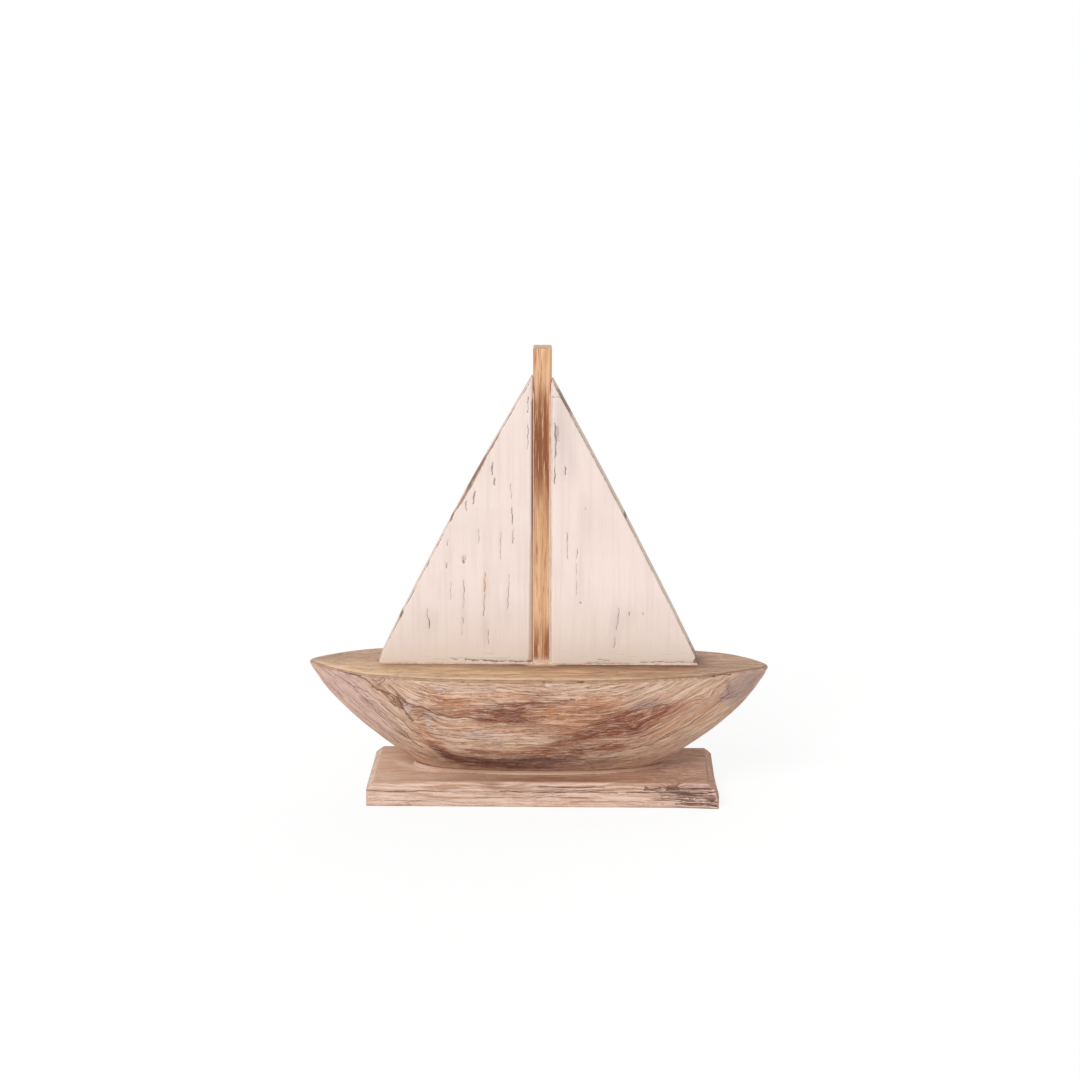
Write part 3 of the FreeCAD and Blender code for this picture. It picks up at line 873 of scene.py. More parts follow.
class BOAT_OT_saw_board(bpy.types.Operator):
    """Saw the base board, with ridged edges and chamfers"""
    bl_idname = "boat.saw_board"
    bl_label = "Saw the base board"

    def execute(self, context):
        given = context.scene.boat_board

        def grain(points, faces):
            along, across, up = points.T
            waves = 0.5 * np.sin(along / 23 + across / 11) + 0.3 * np.sin(along / 9 + up / 3)
            bends = 1.6 * np.sin(along / 19 + 1) * np.clip((across + 38) / 8, 0, 1)
            knots = patches(points, [(88, 14, 7, 3, 0, 1.4)], None)
            return np.column_stack((along, across + waves + bends + knots, up + waves + knots))

        def keep(points, faces):
            """How deep the relief goes: deepest on the sawn edges towards the right."""
            edge = np.clip((0.9 - np.abs(faces[:, 2])) / 0.3, 0, 1)
            edge *= np.clip((0.8 - np.abs(faces[:, 0])) / 0.3, 0, 1)
            right = np.clip((points[:, 0] - 40) / 70, 0, 1)
            floor = np.clip(points[:, 2] / 1.2, 0, 1)
            return floor * (0.16 + edge * (0.45 + 0.55 * right))

        def stains(points, faces):
            """Darker band along the middle of the top, partly stain and partly painted shadow of the hull; dark
            rough right corner; pale smear at the hull's left end.
            """
            along, across, up = points.T
            middle = np.exp(-((along - 10) / 56) ** 2 - ((np.abs(across) - 30) / 7) ** 2)
            corner = 0.7 * np.clip((along - 106) / 8, 0, 1) * (across < 10) * np.clip((11 - up) / 3, 0, 1)
            smear = 1.0 * np.exp(-((along + 86) / 9) ** 4 - ((across + 5 + 0.5 * (along + 84)) / 5.0) ** 2)
            smear += 1.2 * np.exp(-((along + 72) / 12) ** 2 - ((across + 14 + 0.25 * (along + 72)) / 3.0) ** 2)
            lit = 0.5 * np.exp(-((along + 84) / 30) ** 2 - ((across + 26) / 9) ** 2)
            return (
                middle, patches(points, BOARD_DARK, None) + corner,
                smear + lit + patches(points, BOARD_LIGHT, None))

        def rough_ends(points):
            """Each end is sawn a little out of square, and the right front corner flares at its foot."""
            moved = points.copy()
            along, across, up = points.T
            back = np.clip((across + 30) / 66, 0, 1)
            moved[:, 0] += 1.5 * np.clip((-along - 90) / 14, 0, 1) * back
            moved[:, 0] -= 0.7 * np.clip((along - 100) / 12, 0, 1) * back * np.clip((13 - up) / 3, 0, 1)
            flare = np.clip((along - 92) / 22, 0, 1) * np.clip((-across - 8) / 26, 0, 1)
            flare *= np.clip((13 - up) / 5, 0, 1)
            moved[:, 0] += 1.7 * flare
            moved[:, 1] -= 1.6 * flare * np.clip((12 - up) / 9, 0, 1)
            return moved

        carve(
            "base_board_sawn", "base_board", given.cell, grain, stains,
            lambda points, faces: (patches(points, BOARD_PALE, None), flat(points), flat(points)),
            lambda points, faces: strokes(points, BOARD_CRACKS, 0.14, np.abs(faces[:, 2]) < 0.97, None),
            keep,
            board_wood(given),
            {
                "Ridge Cells": (0.02, 0.5, 0.9), "Ridge Depth": given.saw_marks,
                "Dent Cells": (0.05, 0.09, 0.09), "Dent Depth": 0.3 * MM,
                "Arris Width": 1.8, "Arris Wear": 0.9 * MM, "Crack Depth": 0.4 * MM, "Proud": 0.35 * MM,
                "Seed": 23.0,
            },
            rough_ends,
        )
        return {"FINISHED"}


# ---------------------------------------------------------------- mast


class MastSettings(bpy.types.PropertyGroup):
    """Sizes and colours of the mast."""
    cell: length("Cell", "Size of the mesh cells", 0.7 * MM, 0.4 * MM)
    wood: tint("Wood", "Honey-coloured wood", 238, 193, 153)
    scorch: tint("Dark wood", "Dark band near the sails' heads", 164, 100, 62)
    slop: tint("Paint slop", "Sail paint run over the mast's corners", 244, 227, 214)


def mast_wood(given):
    """Waxed wood with a dark band, long streaks and paint on its corners."""
    wood = Finish("waxed mast wood", Specular_IOR_Level=0.35)
    grain = wood.attribute("grain")
    foot, dark, slop = wood.attribute("stains").parts()
    deep = wood.attribute("tints").parts()[0]
    upward = wood.attribute("face").parts()[2].between(0.7, 0.95)
    fibre = wood.noise(grain, (0.035, 1.1, 1.1), 21.0, detail=4.0, roughness=0.65)
    streak = wood.noise(grain, (0.014, 0.42, 0.42), 22.0, detail=4.0, roughness=0.6)
    patch = wood.noise(grain, (0.09, 0.25, 0.25), 23.0, detail=3.0, roughness=0.6)
    speck = wood.noise(grain, (0.3, 1.4, 1.4), 24.0, detail=3.0, roughness=0.7)
    colour = wood.mix(streak.between(0.42, 0.62) * 0.75, given.wood, paint(204, 150, 106))
    colour = wood.coats(colour, (
        ((dark * (0.6 + 0.75 * streak)).clipped(), given.scorch),
        ((dark * streak.between(0.47, 0.57) * 0.65).clipped(), paint(132, 74, 44)),
        ((dark * (1 - streak.between(0.36, 0.47)) * 0.6).clipped(), paint(216, 148, 104)),
        ((deep * (0.4 + 1.0 * streak)).clipped() * 0.85, paint(118, 66, 40)),
        ((foot * (0.3 + 1.2 * streak)).clipped(), paint(158, 98, 60)),
        (fibre.between(0.52, 0.64) * 0.7, paint(146, 88, 52)),
        ((1 - fibre.between(0.34, 0.46)) * 0.6, paint(242, 204, 162)),
        ((slop * (0.5 + 1.0 * patch.between(0.3, 0.5))).clipped() * 0.97, given.slop),
        (upward, paint(176, 150, 128)),
        (upward * speck.between(0.4, 0.7), paint(206, 184, 162)),
    ))
    roughness = 0.48 + 0.2 * speck + 0.15 * slop
    height = fibre * 0.7 + speck * 0.3
    return wood.finish(colour, roughness, height, 0.4 * MM)


class BOAT_OT_square_mast(bpy.types.Operator):
    """Plane the square mast and wax it"""
    bl_idname = "boat.square_mast"
    bl_label = "Plane the mast"

    def execute(self, context):
        given = context.scene.boat_mast
        middle = sum(corner.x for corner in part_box("mast")) / 2 / MM

        def grain(points, faces):
            along, across, up = points.T
            waves = 0.5 * np.sin(up / 29) + 0.2 * np.sin(up / 11 + 1)
            return np.column_stack((up, along + waves, across + waves))

        def stains(points, faces):
            """Stain at the foot, the dark band near the sails' heads, and paint on the sides."""
            along, _, up = points.T
            off = along - middle
            foot = np.exp(-((up - 97) / 17) ** 2) * (0.5 + np.clip((np.abs(off) - 1.0) / 2.5, 0, 1))
            dark = 0.95 * np.exp(-np.abs((up - 233) / 31) ** 4) + 0.35 * np.exp(-((up - 264) / 12) ** 2)
            dark += 0.5 * np.exp(-np.abs((up - 214) / 40) ** 4 - ((off - 3.4) / 1.3) ** 2)
            dark += 0.4 * np.exp(-((up - 288) / 8) ** 2 - ((off + 4.6) / 1.2) ** 2)
            side = np.abs(faces[:, 0]) > 0.7
            slop = np.where(side, 1.0, np.clip((off - 4.4) / 0.5, 0, 1)) * np.clip((270 - up) / 5, 0, 1)
            slop = slop + 0.9 * np.exp(-((up - 86) / 3.5) ** 2)
            return foot, dark, slop

        carve(
            "mast_planed", "mast", given.cell, grain, stains,
            lambda points, faces: (
                np.exp(-np.abs((points[:, 2] - 231) / 38) ** 4 - ((points[:, 0] - middle + 4.8) / 2.4) ** 2),
                flat(points), flat(points)),
            no_cracks,
            lambda points, faces: 0.5 * np.clip((points[:, 2] - 262) / 16, 0.25, 1),
            mast_wood(given),
            {
                "Ridge Cells": (0.02, 0.3, 0.3), "Ridge Depth": 0.3 * MM,
                "Dent Cells": (0.08, 0.08, 0.04), "Dent Depth": 0.4 * MM,
                "Arris Width": 1.6, "Arris Wear": 0.5 * MM, "Crack Depth": 0.0, "Proud": 0.3 * MM, "Seed": 31.0,
            },
        )
        return {"FINISHED"}


# ---------------------------------------------------------------- sails


class SailSettings(bpy.types.PropertyGroup):
    """Sizes and colours of the two sails."""
    cell: length("Cell", "Size of the mesh cells", 0.7 * MM, 0.4 * MM)
    brush_depth: length("Brush marks", "Depth of the brush marks and raised grain", 0.12 * MM, 0.0)
    paint: tint("Paint", "Off-white paint", 243, 226, 219)
    foot: tint("Foot", "Greyer paint towards the foot", 234, 217, 207)
    bare: tint("Bare wood", "Wood where the paint is rubbed off", 188, 144, 112)


def sail_paint(given, name, seed, bare_streak, side):
    """Brushed paint over upright grain, chipped, and rubbed off along the leech."""
    wood = Finish(name, Specular_IOR_Level=0.3)
    grain = wood.attribute("grain")
    rubbed, dark, leech = wood.attribute("stains").parts()
    grey, brown, luff = wood.attribute("tints").parts()
    arris = wood.attribute("edges").parts()[1]
    place = wood.place()
    up = place.parts()[2]
    fibre = wood.noise(grain, (0.025, 1.1, 1.1), seed + 1.0, detail=4.0, roughness=0.65)
    brush = wood.noise(grain, (0.01, 0.35, 0.35), seed + 2.0, detail=3.0)
    cloud = wood.noise(place, (0.03, 0.03, 0.03), seed + 3.0, detail=3.0)
    speck = wood.noise(grain, (0.18, 1.2, 1.2), seed + 4.0, detail=4.0, roughness=0.7)
    chip = wood.noise(place, (0.5, 0.5, 0.3), seed + 5.0, detail=4.0, roughness=0.7)
    gaps = wood.noise(grain, (0.12, 0.4, 0.4), seed + 6.0, detail=3.0, roughness=0.6)
    cross = wood.noise(place, (0.07, 0.8, 0.8), seed + 7.0, detail=3.0, roughness=0.6)
    colour = wood.mix(1 - up.between(84.0, 150.0), given.paint, given.foot)
    colour = wood.coats(colour, (
        (cloud.between(0.42, 0.66) * 0.4, paint(231, 212, 204)),
        (brush.between(0.48, 0.66) * 0.4, paint(228, 208, 199)),
        ((1 - fibre.between(0.28, 0.42)) * 0.3, paint(210, 188, 177)),
        (fibre.between(0.6, 0.7) * 0.5, paint(248, 234, 226)),
        (speck.between(0.66, 0.76) * 0.35, paint(194, 172, 162)),
        ((grey * (0.3 + 1.0 * fibre)).clipped() * 0.6, paint(190, 174, 170)),
    ))
    low = 1 - (up + 3.0 * (cloud - 0.5)).between(92.0, 98.0)
    colour = wood.coats(colour, (
        (low * (0.4 + 0.5 * cross), paint(236, 221, 205)),
        (low * cross.between(0.56, 0.7) * 0.35, paint(190, 166, 146)),
    ))
    # Beside the mast the mainsail is painted as the mast's wood in half-shade: partly wood colour and partly
    # painted shade, darker higher up.
    stick = wood.mix(up.between(150.0, 196.0), paint(214, 181, 154), paint(166, 118, 88))
    colour = wood.mix((luff * (0.7 + 0.5 * chip)).clipped(), colour, stick)
    bare = wood.mix(fibre.between(0.4, 0.65), given.bare, bare_streak)
    colour = wood.mix(leech.between(0.25, 0.7) * 0.85, colour, side)
    edge = 1 - (arris + 1.6 * (chip - 0.45)).between(0.0, 0.4)
    colour = wood.mix(edge * leech.between(0.0, 0.2) * 0.85, colour, bare_streak)
    off = (rubbed * (1 - arris * 0.3).clipped() + 0.9 * (chip - 0.5) - 0.55).between(0.0, 0.15)
    colour = wood.mix(off * 0.9, colour, bare)
    dirt = (dark.at_most(1.2) + 1.6 * (chip - 0.62)).between(0.3, 0.6)
    colour = wood.mix(dirt * 0.8, colour, paint(112, 84, 72))
    split = wood.cracks(4.5 * (gaps - 0.43) + 3.5 * (speck - 0.5))
    colour = wood.coats(colour, (
        (split * 0.72, wood.mix(brown.clipped(), paint(104, 84, 82), paint(180, 118, 80))),
        ((brown * (0.1 + fibre)).clipped() * 0.45, paint(206, 156, 120)),
    ))
    roughness = 0.56 + 0.16 * speck + 0.15 * off
    height = fibre * 0.5 + brush * 0.3 - off * 0.5 - split * 0.7
    return wood.finish(colour, roughness, height, 0.3 * MM)


class BOAT_OT_paint_sails(bpy.types.Operator):
    """Cut both sails, paint them and rub their edges"""
    bl_idname = "boat.paint_sails"
    bl_label = "Paint the sails"

    def execute(self, context):
        given = context.scene.boat_sails
        for node, name, seed, chips in (
            ("mainsail", "mainsail_board", 40.0, MAINSAIL_CHIPS),
            ("jib", "jib_board", 50.0, JIB_CHIPS),
        ):
            low, high = (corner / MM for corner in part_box(node))
            jib = node == "jib"
            far = (96.0, 0.9) if jib else (-92.0, 0.9)
            streak = paint(176, 156, 136) if jib else paint(136, 104, 88)
            side = paint(206, 188, 170) if jib else paint(222, 204, 192)

            def grain(points, faces):
                along, across, up = points.T
                waves = 0.6 * np.sin(up / 31 + seed) + 0.25 * np.sin(up / 12)
                return np.column_stack((up, along + waves, across + waves))

            def beside_leech(points):
                """How far in from the leech a point is, and from the luff, in millimetres."""
                along, _, up = points.T
                share = np.clip((up - low.z) / (high.z - low.z), 0, 1)
                luff = np.abs(along - (low.x if jib else high.x))
                return (high.x - low.x) * (1 - share) * 0.87 - luff * 0.87, luff

            def stains(points, faces):
                """Wear on the sloping leech, dark dirt in chips, and the leech itself."""
                along, _, up = points.T
                slope = np.clip(np.abs(faces[:, 0]) * 1.6 - 0.2, 0, 1)
                slope *= (faces[:, 0] > 0) if jib else (faces[:, 0] < 0)
                near = np.clip(2 - beside_leech(points)[0] / 7, 0, 1)
                if jib:
                    rubbed = 0.35 * np.exp(-((up - 187) / 6) ** 2) * near + 0.25 * near * slope
                    dark = np.exp(-((up - 262) / 12) ** 2) * slope
                    dark += 0.8 * slope * np.clip((130 - up) / 40, 0, 1)
                    dark += 1.2 * np.exp(-((up - 187) / 2.2) ** 2) * slope
                    dark += 2.0 * np.exp(-((along - 101.2) / 1.3) ** 2 - ((up - 89.6) / 1.3) ** 2)
                else:
                    rubbed = np.clip((up - 186) / 8, 0, 1) * np.clip((272 - up) / 20, 0, 1)
                    rubbed = 0.25 * near + 0.5 * slope * rubbed
                    for height, reach, strength in RUBBED_SPOTS:
                        rubbed = rubbed + strength * np.exp(-((up - height) / reach) ** 2) * near
                    dark = 0.5 * np.exp(-((up - 214) / 13) ** 2) * slope
                    dark += 0.45 * slope * np.clip((up - 196) / 8, 0, 1)
                    dark += np.exp(-((up - 120) / 4) ** 2) * slope + np.exp(-((up - 186) / 4) ** 2) * slope
                return rubbed, dark, np.maximum(slope, 0.2 * near)

            def tints(points, faces):
                """Grey smudges, one brown run of sap, and the mainsail's strip beside the mast, painted as the
                mast's wood in half-shade.
                """
                luff = beside_leech(points)[1]
                width = np.interp(points[:, 2], [88, 100, 150, 176, 262, 266], [3.4, 2.9, 2.5, 1.5, 1.3, 0])
                mast_wood_and_shade_strip = flat(points) if jib else np.clip((width - luff) / 0.6, 0, 1)
                brown = flat(points) if jib else patches(points, MAINSAIL_SAP, far)
                return patches(points, JIB_GREY if jib else MAINSAIL_GREY, far), brown, mast_wood_and_shade_strip

            def cut_full(points):
                """The leech stands a little proud of its line towards the foot."""
                moved = points.copy()
                along, _, up = points.T
                luff = low.x if jib else high.x
                proud = np.interp(up, [88, 94, 120, 160, 200, 236, 260], [1.2, 1.9, 1.9, 1.5, 1.5, 0.9, 0])
                moved[:, 0] += proud * (along - luff) / (high.x - low.x)
                return moved

            carve(
                name, node, given.cell, grain, stains, tints,
                lambda points, faces: strokes(points, chips, 0.2, np.abs(faces[:, 1]) > 0.6, far),
                lambda points, faces: (0.6 + 0.4 * np.clip((points[:, 2] - low.z) / 8, 0, 1))
                * np.clip(beside_leech(points)[1] / 2.5, 0.25, 1),
                sail_paint(given, f"brushed {node} paint", seed, streak, side),
                {
                    "Ridge Cells": (0.012, 0.4, 0.4), "Ridge Depth": given.brush_depth,
                    "Dent Cells": (0.05, 0.05, 0.03), "Dent Depth": 0.3 * MM,
                    "Arris Width": 1.4, "Arris Wear": 0.6 * MM, "Crack Depth": 0.35 * MM, "Proud": 0.2 * MM,
                    "Seed": seed,
                },
                cut_full,
            )
        return {"FINISHED"}


# ---------------------------------------------------------------- filler


class FillerSettings(bpy.types.PropertyGroup):
    """Sizes and colour of the filler."""
    squeeze: length("Squeeze", "Half width of the ridge squeezed out at the bead's edge", 0.34 * MM, 0.2 * MM)
    seed: IntProperty(name="Seed", description="Changes how uneven the ridge is", default=5, min=0)
    filler: tint("Filler", "Pale sanded filler", 218, 184, 160)


def filler_paste(given):
    """Matte filler, sanded, with dust and wood colour rubbed into it."""
    paste = Finish("sanded filler", Specular_IOR_Level=0.2)
    place = paste.place()
    along, across, up = place.parts()
    streak = paste.noise(place, (0.03, 0.5, 0.8), 61.0, detail=3.0)
    dust = paste.noise(place, (0.25, 0.5, 0.5), 62.0, detail=4.0, roughness=0.65)
    grit = paste.noise(place, (1.4, 1.4, 1.4), 63.0, detail=3.0)
    colour = paste.mix(streak.between(0.4, 0.65) * 0.75, given.filler, paint(186, 148, 124))
    near = 1 - across.between(-12.0, 4.0)
    shade = along.between(40.0, 80.0) * near
    colour = paste.coats(colour, (
        (shade * (0.4 + 0.6 * dust), paint(146, 112, 94)),
        (dust.between(0.52, 0.7) * 0.6, paint(222, 196, 178)),
        ((up + 1.2 * (dust - 0.5)).between(15.9, 16.7) * 0.85, paint(182, 145, 122)),
        ((1 - along.between(-84.0, -60.0)) * (0.3 + 0.9 * dust), paint(224, 198, 182)),
    ))
    return paste.finish(colour, 0.72 + 0.2 * grit, grit * 0.4 + streak * 0.6, 0.4 * MM)


def putty(given):
    """The whiter putty smeared round the mast's foot."""
    paste = Finish("smeared putty", Specular_IOR_Level=0.2)
    place = paste.place()
    smear = paste.noise(place, (0.35, 0.35, 0.5), 65.0, detail=4.0, roughness=0.65)
    grit = paste.noise(place, (1.6, 1.6, 1.6), 66.0, detail=3.0)
    colour = paste.mix(smear.between(0.35, 0.65), paint(232, 210, 192), paint(206, 172, 146))
    colour = paste.mix(grit.between(0.6, 0.75) * 0.5, colour, paint(166, 130, 104))
    return paste.finish(colour, 0.7 + 0.2 * grit, grit * 0.5 + smear, 0.4 * MM)


def thick_paint():
    """Sail paint run thick into a corner."""
    paste = Finish("thick paint", Specular_IOR_Level=0.3)
    place = paste.place()
    smear = paste.noise(place, (0.4, 0.4, 0.12), 68.0, detail=4.0, roughness=0.65)
    colour = paste.mix(smear.between(0.4, 0.65), paint(240, 222, 211), paint(220, 196, 180))
    return paste.finish(colour, 0.6 + 0.2 * smear, smear, 0.3 * MM)


def sweep_tree():
    """Geometry nodes that squeeze an uneven ridge along a path."""
    nodes, given = open_tree("squeezed ridge", ("Half Width", "Unevenness", "Step"))
    place = nodes.scaled(nodes.add("GeometryNodeInputPosition"), (1 / MM, 1 / MM, 1 / MM))
    lumps = nodes.noise(place, (0.16, 0.16, 0.16), given["Seed"], detail=3.0)
    size = given["Half Width"] * (1 - given["Unevenness"] + 2 * given["Unevenness"] * lumps)
    path = nodes.add(
        "GeometryNodeResampleCurve", {"mode": "LENGTH"}, {"Curve": given["Geometry"], "Length": given["Step"]})
    sized = nodes.add("GeometryNodeSetCurveRadius", {}, {"Curve": path, "Radius": size})
    ring = nodes.add("GeometryNodeCurvePrimitiveCircle", {}, {"Resolution": 10, "Radius": 1.0})
    tube = nodes.add("GeometryNodeCurveToMesh", {}, {"Curve": sized, "Profile Curve": ring, "Fill Caps": True})
    if "Scale" in [socket.name for socket in tube.socket.node.inputs]:
        radius = nodes.add("GeometryNodeInputRadius")
        nodes.tree.links.new(radius.socket, tube.socket.node.inputs["Scale"])
    normal = nodes.add("GeometryNodeInputNormal")
    bumpy = nodes.noise(place, (0.7, 0.7, 0.7), given["Seed"] + 4.0, detail=2.0)
    shift = nodes.add("ShaderNodeVectorMath", {"operation": "SCALE"}, {
        "Vector": normal, "Scale": (bumpy - 0.5) * given["Half Width"] * 0.5})
    moved = nodes.add("GeometryNodeSetPosition", {}, {"Geometry": tube, "Offset": shift})
    return close_tree(nodes, moved, given["Finish"])


def path_object(name, corners, closed):
    """A line through points in millimetres."""
    curve = bpy.data.curves.new(name, "CURVE")
    curve.dimensions = "3D"
    line = curve.splines.new("POLY")
    line.points.add(len(corners) - 1)
    for point, corner in zip(line.points, corners):
        point.co = (*(value * MM for value in corner), 1.0)
    line.use_cyclic_u = closed
    return scene_object(name, curve)


RIDGE_STEP = 1.2 * MM


def squeezed_ridge(name, corners, half_width, unevenness, seed, finish, slot="filler_bead", closed=True):
    """An uneven ridge of filler or paint that follows a line."""
    rough = path_object(name + "_path", corners, closed)
    return finished_piece(name, rough, sweep_tree(), {
        "Half Width": half_width, "Unevenness": unevenness, "Step": RIDGE_STEP, "Seed": float(seed),
        "Finish": finish,
    }, slot=slot)


def on_deck(low, high, gap):
    """A closed line on the deck round a piece's foot, a small gap away from it."""
    mesh, form = solid_copy("hull")
    bpy.data.meshes.remove(mesh)
    deck = BVHTree.FromBMesh(form)
    form.free()
    left, right, front, back = low.x - gap, high.x + gap, low.y - gap, high.y + gap
    corners = [(left, front), (right, front), (right, back), (left, back)]
    line = []
    for (x0, y0), (x1, y1) in zip(corners, corners[1:] + corners[:1]):
        count = max(4, int(math.hypot(x1 - x0, y1 - y0) / 2))
        for number in range(count):
            x, y = x0 + (x1 - x0) * number / count, y0 + (y1 - y0) * number / count
            spot = deck.ray_cast(Vector((x * MM, y * MM, 0.2)), Vector((0, 0, -1)))[0]
            line.append((x, y, spot.z / MM if spot else low.z))
    return line


class BOAT_OT_squeeze_filler(bpy.types.Operator):
    """Lay the filler between hull and board, and round the mast's foot"""
    bl_idname = "boat.squeeze_filler"
    bl_label = "Lay the filler"

    def execute(self, context):
        given = context.scene.boat_filler
        paste = filler_paste(given)
        carve(
            "filler_bead_rubbed", "filler_bead", 0.6 * MM, lambda points, faces: points,
            no_tints, no_tints, no_cracks,
            lambda points, faces: np.clip((faces[:, 2] + 0.2) / 0.4, 0, 1),
            paste,
            {
                "Ridge Cells": (0.04, 0.3, 0.3), "Ridge Depth": 0.3 * MM, "Dent Cells": (0.09, 0.14, 0.14),
                "Dent Depth": 0.7 * MM, "Arris Width": 1.0, "Arris Wear": 0.2 * MM, "Crack Depth": 0.0,
                "Proud": 0.0, "Seed": 61.0,
            },
        )
        low, high = (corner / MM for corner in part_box("filler_bead"))
        half_length, half_width = (high.x - low.x) / 2, (high.y - low.y) / 2
        middle = (high.x + low.x) / 2
        outline = []
        for turn in range(240):
            angle = 2 * math.pi * turn / 240
            run, side = math.cos(angle), math.sin(angle)
            fullness, pointedness = (2.8, 1.0) if run < 0 else (2.45, 1.12)
            share = abs(run)
            breadth = (1 - share ** fullness) ** (1 / pointedness) if share < 1 else 0.0
            outline.append((middle + half_length * run, math.copysign(half_width * breadth, side), low.z + 0.1))
        squeezed_ridge("filler_squeeze", outline, given.squeeze, 0.75, given.seed, paste)
        low, high = (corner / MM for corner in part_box("mast"))
        smear = putty(given)
        squeezed_ridge("mast_foot_filler", on_deck(low, high, 0.5), 1.4 * MM, 0.9, given.seed + 2, smear)
        run = thick_paint()
        foot, top, steps = 88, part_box("jib")[1].z / MM - 1, 90
        for face, y in (("front", low.y - 0.5), ("back", high.y + 0.5)):
            seam = [(high.x, y, foot + (top - foot) * share / steps) for share in range(steps + 1)]
            squeezed_ridge(f"jib_{face}_seam", seam, 0.45 * MM, 0.5, given.seed + 6, run, "jib", False)
        for number, node in enumerate(("mainsail", "jib")):
            low, high = (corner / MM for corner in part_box(node))
            line = on_deck(low, high, 0.15)
            squeezed_ridge(f"{node}_foot_paint", line, 0.5 * MM, 0.95, given.seed + 4 + number, smear, node)
        return {"FINISHED"}


# ---------------------------------------------------------------- dowels and screws


class FixingSettings(bpy.types.PropertyGroup):
    """Colours of the dowels and screws."""
    dowel: tint("Dowel", "Turned beech", 216, 180, 140)
    screw: tint("Screw", "Zinc-plated steel", 190, 188, 184)


def dowel_wood(given):
    wood = Finish("turned beech", Specular_IOR_Level=0.3)
    place = wood.place()
    fibre = wood.noise(place, (2.2, 2.2, 0.12), 71.0, detail=4.0, roughness=0.6)
    fleck = wood.noise(place, (1.2, 1.2, 0.5), 72.0, detail=2.0)
    colour = wood.mix(fibre.between(0.4, 0.65), given.dowel, paint(186, 142, 102))
    colour = wood.mix(fleck.between(0.6, 0.75) * 0.6, colour, paint(150, 104, 72))
    return wood.finish(colour, 0.5 + 0.2 * fibre, fibre, 0.2 * MM)


def screw_steel(given):
    steel = Finish("zinc-plated steel", Metallic=1.0)
    place = steel.place()
    scratch = steel.noise(place, (3.0, 3.0, 0.4), 75.0, detail=4.0, roughness=0.7)
    haze = steel.noise(place, (0.6, 0.6, 0.6), 76.0, detail=3.0)
    colour = steel.mix(haze.between(0.4, 0.7) * 0.6, given.screw, paint(150, 148, 142))
    colour = steel.mix(scratch.between(0.62, 0.75) * 0.5, colour, paint(220, 218, 214))
    return steel.finish(colour, 0.28 + 0.3 * haze, scratch, 0.08 * MM)


class BOAT_OT_fit_fixings(bpy.types.Operator):
    """Give the dowels and screws their wood and steel"""
    bl_idname = "boat.fit_fixings"
    bl_label = "Fit dowels and screws"

    def execute(self, context):
        given = context.scene.boat_fixings
        finishes = {"dowel": dowel_wood(given), "screw": screw_steel(given)}
        for node, thing in frame["nodes"].items():
            for kind, finish in finishes.items():
                if kind in node:
                    thing.data.materials.clear()
                    thing.data.materials.append(finish)
        return {"FINISHED"}


# ---------------------------------------------------------------- stage


class StageSettings(bpy.types.PropertyGroup):
    """Floor, lamps and camera."""
    floor_size: length("Floor", "Side of the square floor", 6.0, 1.0)
    room_light: amount("Room light", "Light from all round", 0.62)
    key_light: amount("Key lamp", "Strength of the soft lamp at the upper left", 1.55)
    back_light: amount("Back lamp", "Strength of the weak lamp behind", 0.55)
    lens: FloatProperty(name="Lens", description="Focal length", default=101.37, min=20.0, unit="CAMERA")


EYE = Vector((31.69, -1910.54, 669.77)) * MM
LOOKED_AT = Vector((0.83, 0.0, 168.99)) * MM
CAMERA_ROLL = math.radians(0.06)
LAMP_WAYS = {"key lamp": (32, (0.42, 0.72, -0.72)), "back lamp": (60, (-0.35, -0.8, -0.6))}
GLOW_SHARE = 0.84  # how much of the seen floor's white is glow; the rest takes the object's shadow


def white_in_view(nodes, lit, white, end):
    """Shows plain white to the camera, to gloss and through glass, and the lit surface to all else."""
    path = nodes.add("ShaderNodeLightPath").socket.node
    camera, gloss, glass = (
        Level(nodes, path.outputs[name]) for name in ("Is Camera Ray", "Is Glossy Ray", "Is Transmission Ray"))
    share = camera.at_least(gloss).at_least(glass)
    both = nodes.add("ShaderNodeMixShader", {}, {0: share, 1: lit, 2: white})
    nodes.tree.links.new(both.socket, nodes.tree.nodes.new(end).inputs["Surface"])


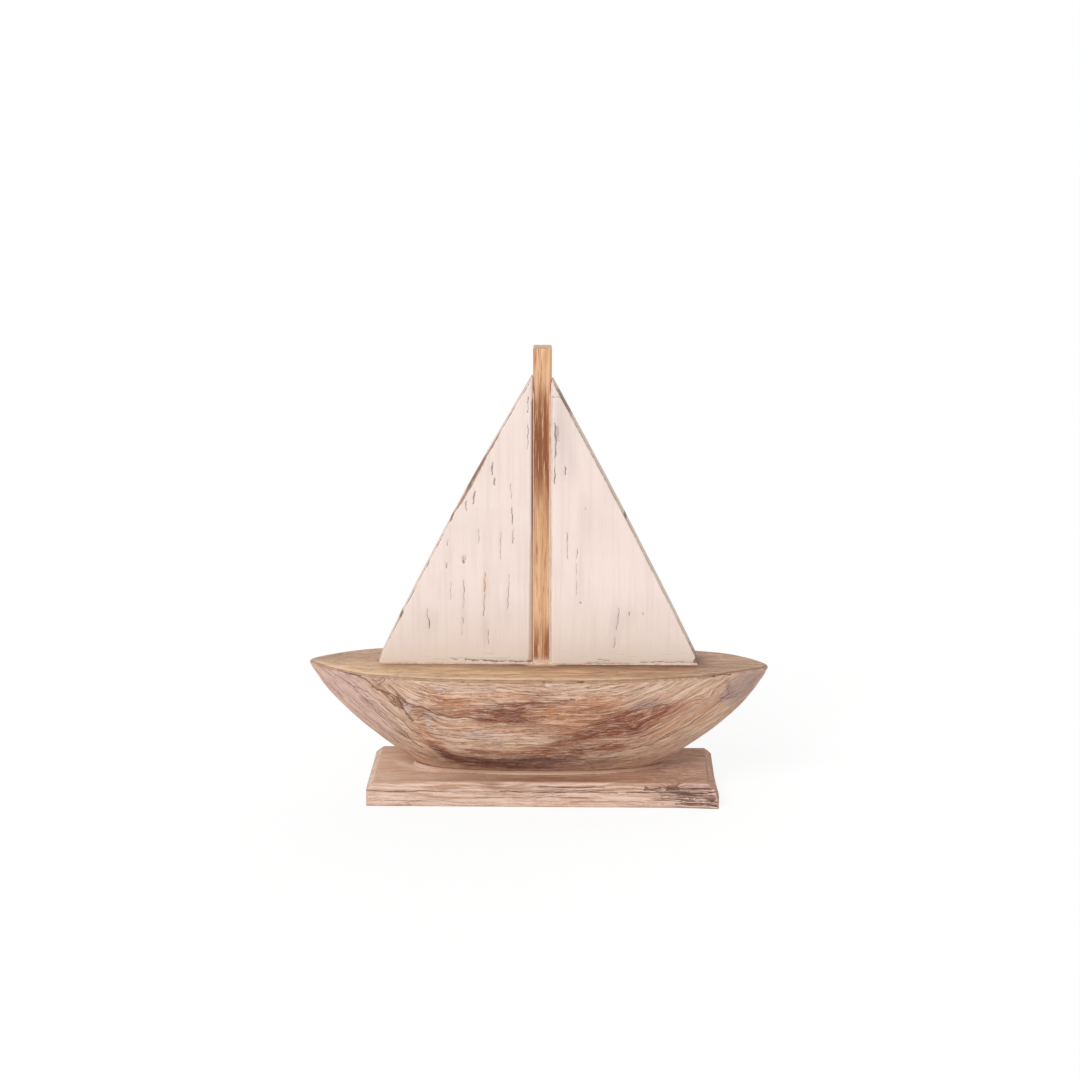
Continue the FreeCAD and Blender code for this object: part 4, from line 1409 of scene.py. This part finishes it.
class BOAT_OT_set_stage(bpy.types.Operator):
    """Lay the pale floor, hang the soft lamps and place the camera"""
    bl_idname = "boat.set_stage"
    bl_label = "Set the stage"

    def execute(self, context):
        given = context.scene.boat_stage
        scene = context.scene
        scene.view_settings.view_transform = "Standard"

        world = bpy.data.worlds.new("white room")
        scene.world = world
        world.use_nodes = True
        world.node_tree.nodes.clear()
        room = Nodes(world.node_tree)
        lit = room.add(
            "ShaderNodeBackground", {}, {"Color": (1.0, 0.985, 0.97, 1.0), "Strength": given.room_light})
        white = room.add("ShaderNodeBackground", {}, {"Color": (1.0, 1.0, 1.0, 1.0), "Strength": 1.0})
        white_in_view(room, lit, white, "ShaderNodeOutputWorld")

        half = given.floor_size / 2
        mesh = bpy.data.meshes.new("floor")
        corners = [(-half, -half, 0), (half, -half, 0), (half, half, 0), (-half, half, 0)]
        mesh.from_pydata(corners, [], [(0, 1, 2, 3)])
        floor = scene_object("floor", mesh)
        material = bpy.data.materials.new("white floor")
        material.use_nodes = True
        material.node_tree.nodes.clear()
        ground = Nodes(material.node_tree)
        lit = ground.add("ShaderNodeBsdfDiffuse", {}, {"Color": (0.82, 0.81, 0.8, 1.0)})
        bright = ground.add("ShaderNodeBsdfDiffuse", {}, {"Color": (1.0, 1.0, 1.0, 1.0)})
        glow = ground.add("ShaderNodeEmission", {}, {"Color": (1.0, 1.0, 1.0, 1.0), "Strength": 1.0})
        white = ground.add("ShaderNodeMixShader", {}, {0: GLOW_SHARE, 1: bright, 2: glow})
        white_in_view(ground, lit, white, "ShaderNodeOutputMaterial")
        floor.data.materials.append(material)

        for name, strength in (("key lamp", given.key_light), ("back lamp", given.back_light)):
            spread, towards = LAMP_WAYS[name]
            lamp = bpy.data.lights.new(name, "SUN")
            lamp.energy = strength
            lamp.angle = math.radians(spread)
            thing = scene_object(name, lamp)
            thing.rotation_euler = Vector(towards).to_track_quat("-Z", "Y").to_euler()

        camera = bpy.data.cameras.new("camera")
        camera.sensor_fit = "HORIZONTAL"
        camera.sensor_width = 36.0
        camera.lens = given.lens
        camera.clip_start = 0.1
        camera.clip_end = 30.0
        eye = scene_object("camera", camera)
        turn = (LOOKED_AT - EYE).to_track_quat("-Z", "Y").to_matrix() @ Matrix.Rotation(CAMERA_ROLL, 3, "Z")
        eye.matrix_world = Matrix.Translation(EYE) @ turn.to_4x4()
        scene.camera = eye
        return {"FINISHED"}


# ---------------------------------------------------------------- add-on


class BOAT_PT_panel(bpy.types.Panel):
    """The boat's pieces, with their sizes and colours"""
    bl_idname = "BOAT_PT_panel"
    bl_label = "Wooden sailing boat"
    bl_space_type = "VIEW_3D"
    bl_region_type = "UI"
    bl_category = "Boat"

    def draw(self, context):
        for operator, group in STEPS:
            box = self.layout.box()
            box.operator(operator)
            settings = getattr(context.scene, group)
            for name in settings.bl_rna.properties.keys():
                if name not in {"rna_type", "name"}:
                    box.prop(settings, name)


STEPS = (
    ("boat.saw_board", "boat_board"),
    ("boat.carve_hull", "boat_hull"),
    ("boat.square_mast", "boat_mast"),
    ("boat.paint_sails", "boat_sails"),
    ("boat.squeeze_filler", "boat_filler"),
    ("boat.fit_fixings", "boat_fixings"),
    ("boat.set_stage", "boat_stage"),
)
GROUPS = {
    "boat_hull": HullSettings,
    "boat_board": BoardSettings,
    "boat_mast": MastSettings,
    "boat_sails": SailSettings,
    "boat_filler": FillerSettings,
    "boat_fixings": FixingSettings,
    "boat_stage": StageSettings,
}
CLASSES = (
    *GROUPS.values(),
    BOAT_OT_carve_hull, BOAT_OT_saw_board, BOAT_OT_square_mast, BOAT_OT_paint_sails,
    BOAT_OT_squeeze_filler, BOAT_OT_fit_fixings, BOAT_OT_set_stage, BOAT_PT_panel,
)


def register():
    for kind in CLASSES:
        bpy.utils.register_class(kind)
    for name, kind in GROUPS.items():
        setattr(bpy.types.Scene, name, PointerProperty(type=kind))


def unregister():
    for name in GROUPS:
        delattr(bpy.types.Scene, name)
    for kind in reversed(CLASSES):
        bpy.utils.unregister_class(kind)


def main():
    register()
    bpy.ops.boat.saw_board()
    bpy.ops.boat.carve_hull()
    bpy.ops.boat.square_mast()
    bpy.ops.boat.paint_sails()
    bpy.ops.boat.squeeze_filler()
    bpy.ops.boat.fit_fixings()
    bpy.ops.boat.set_stage()


if __name__ == "__main__":
    main()
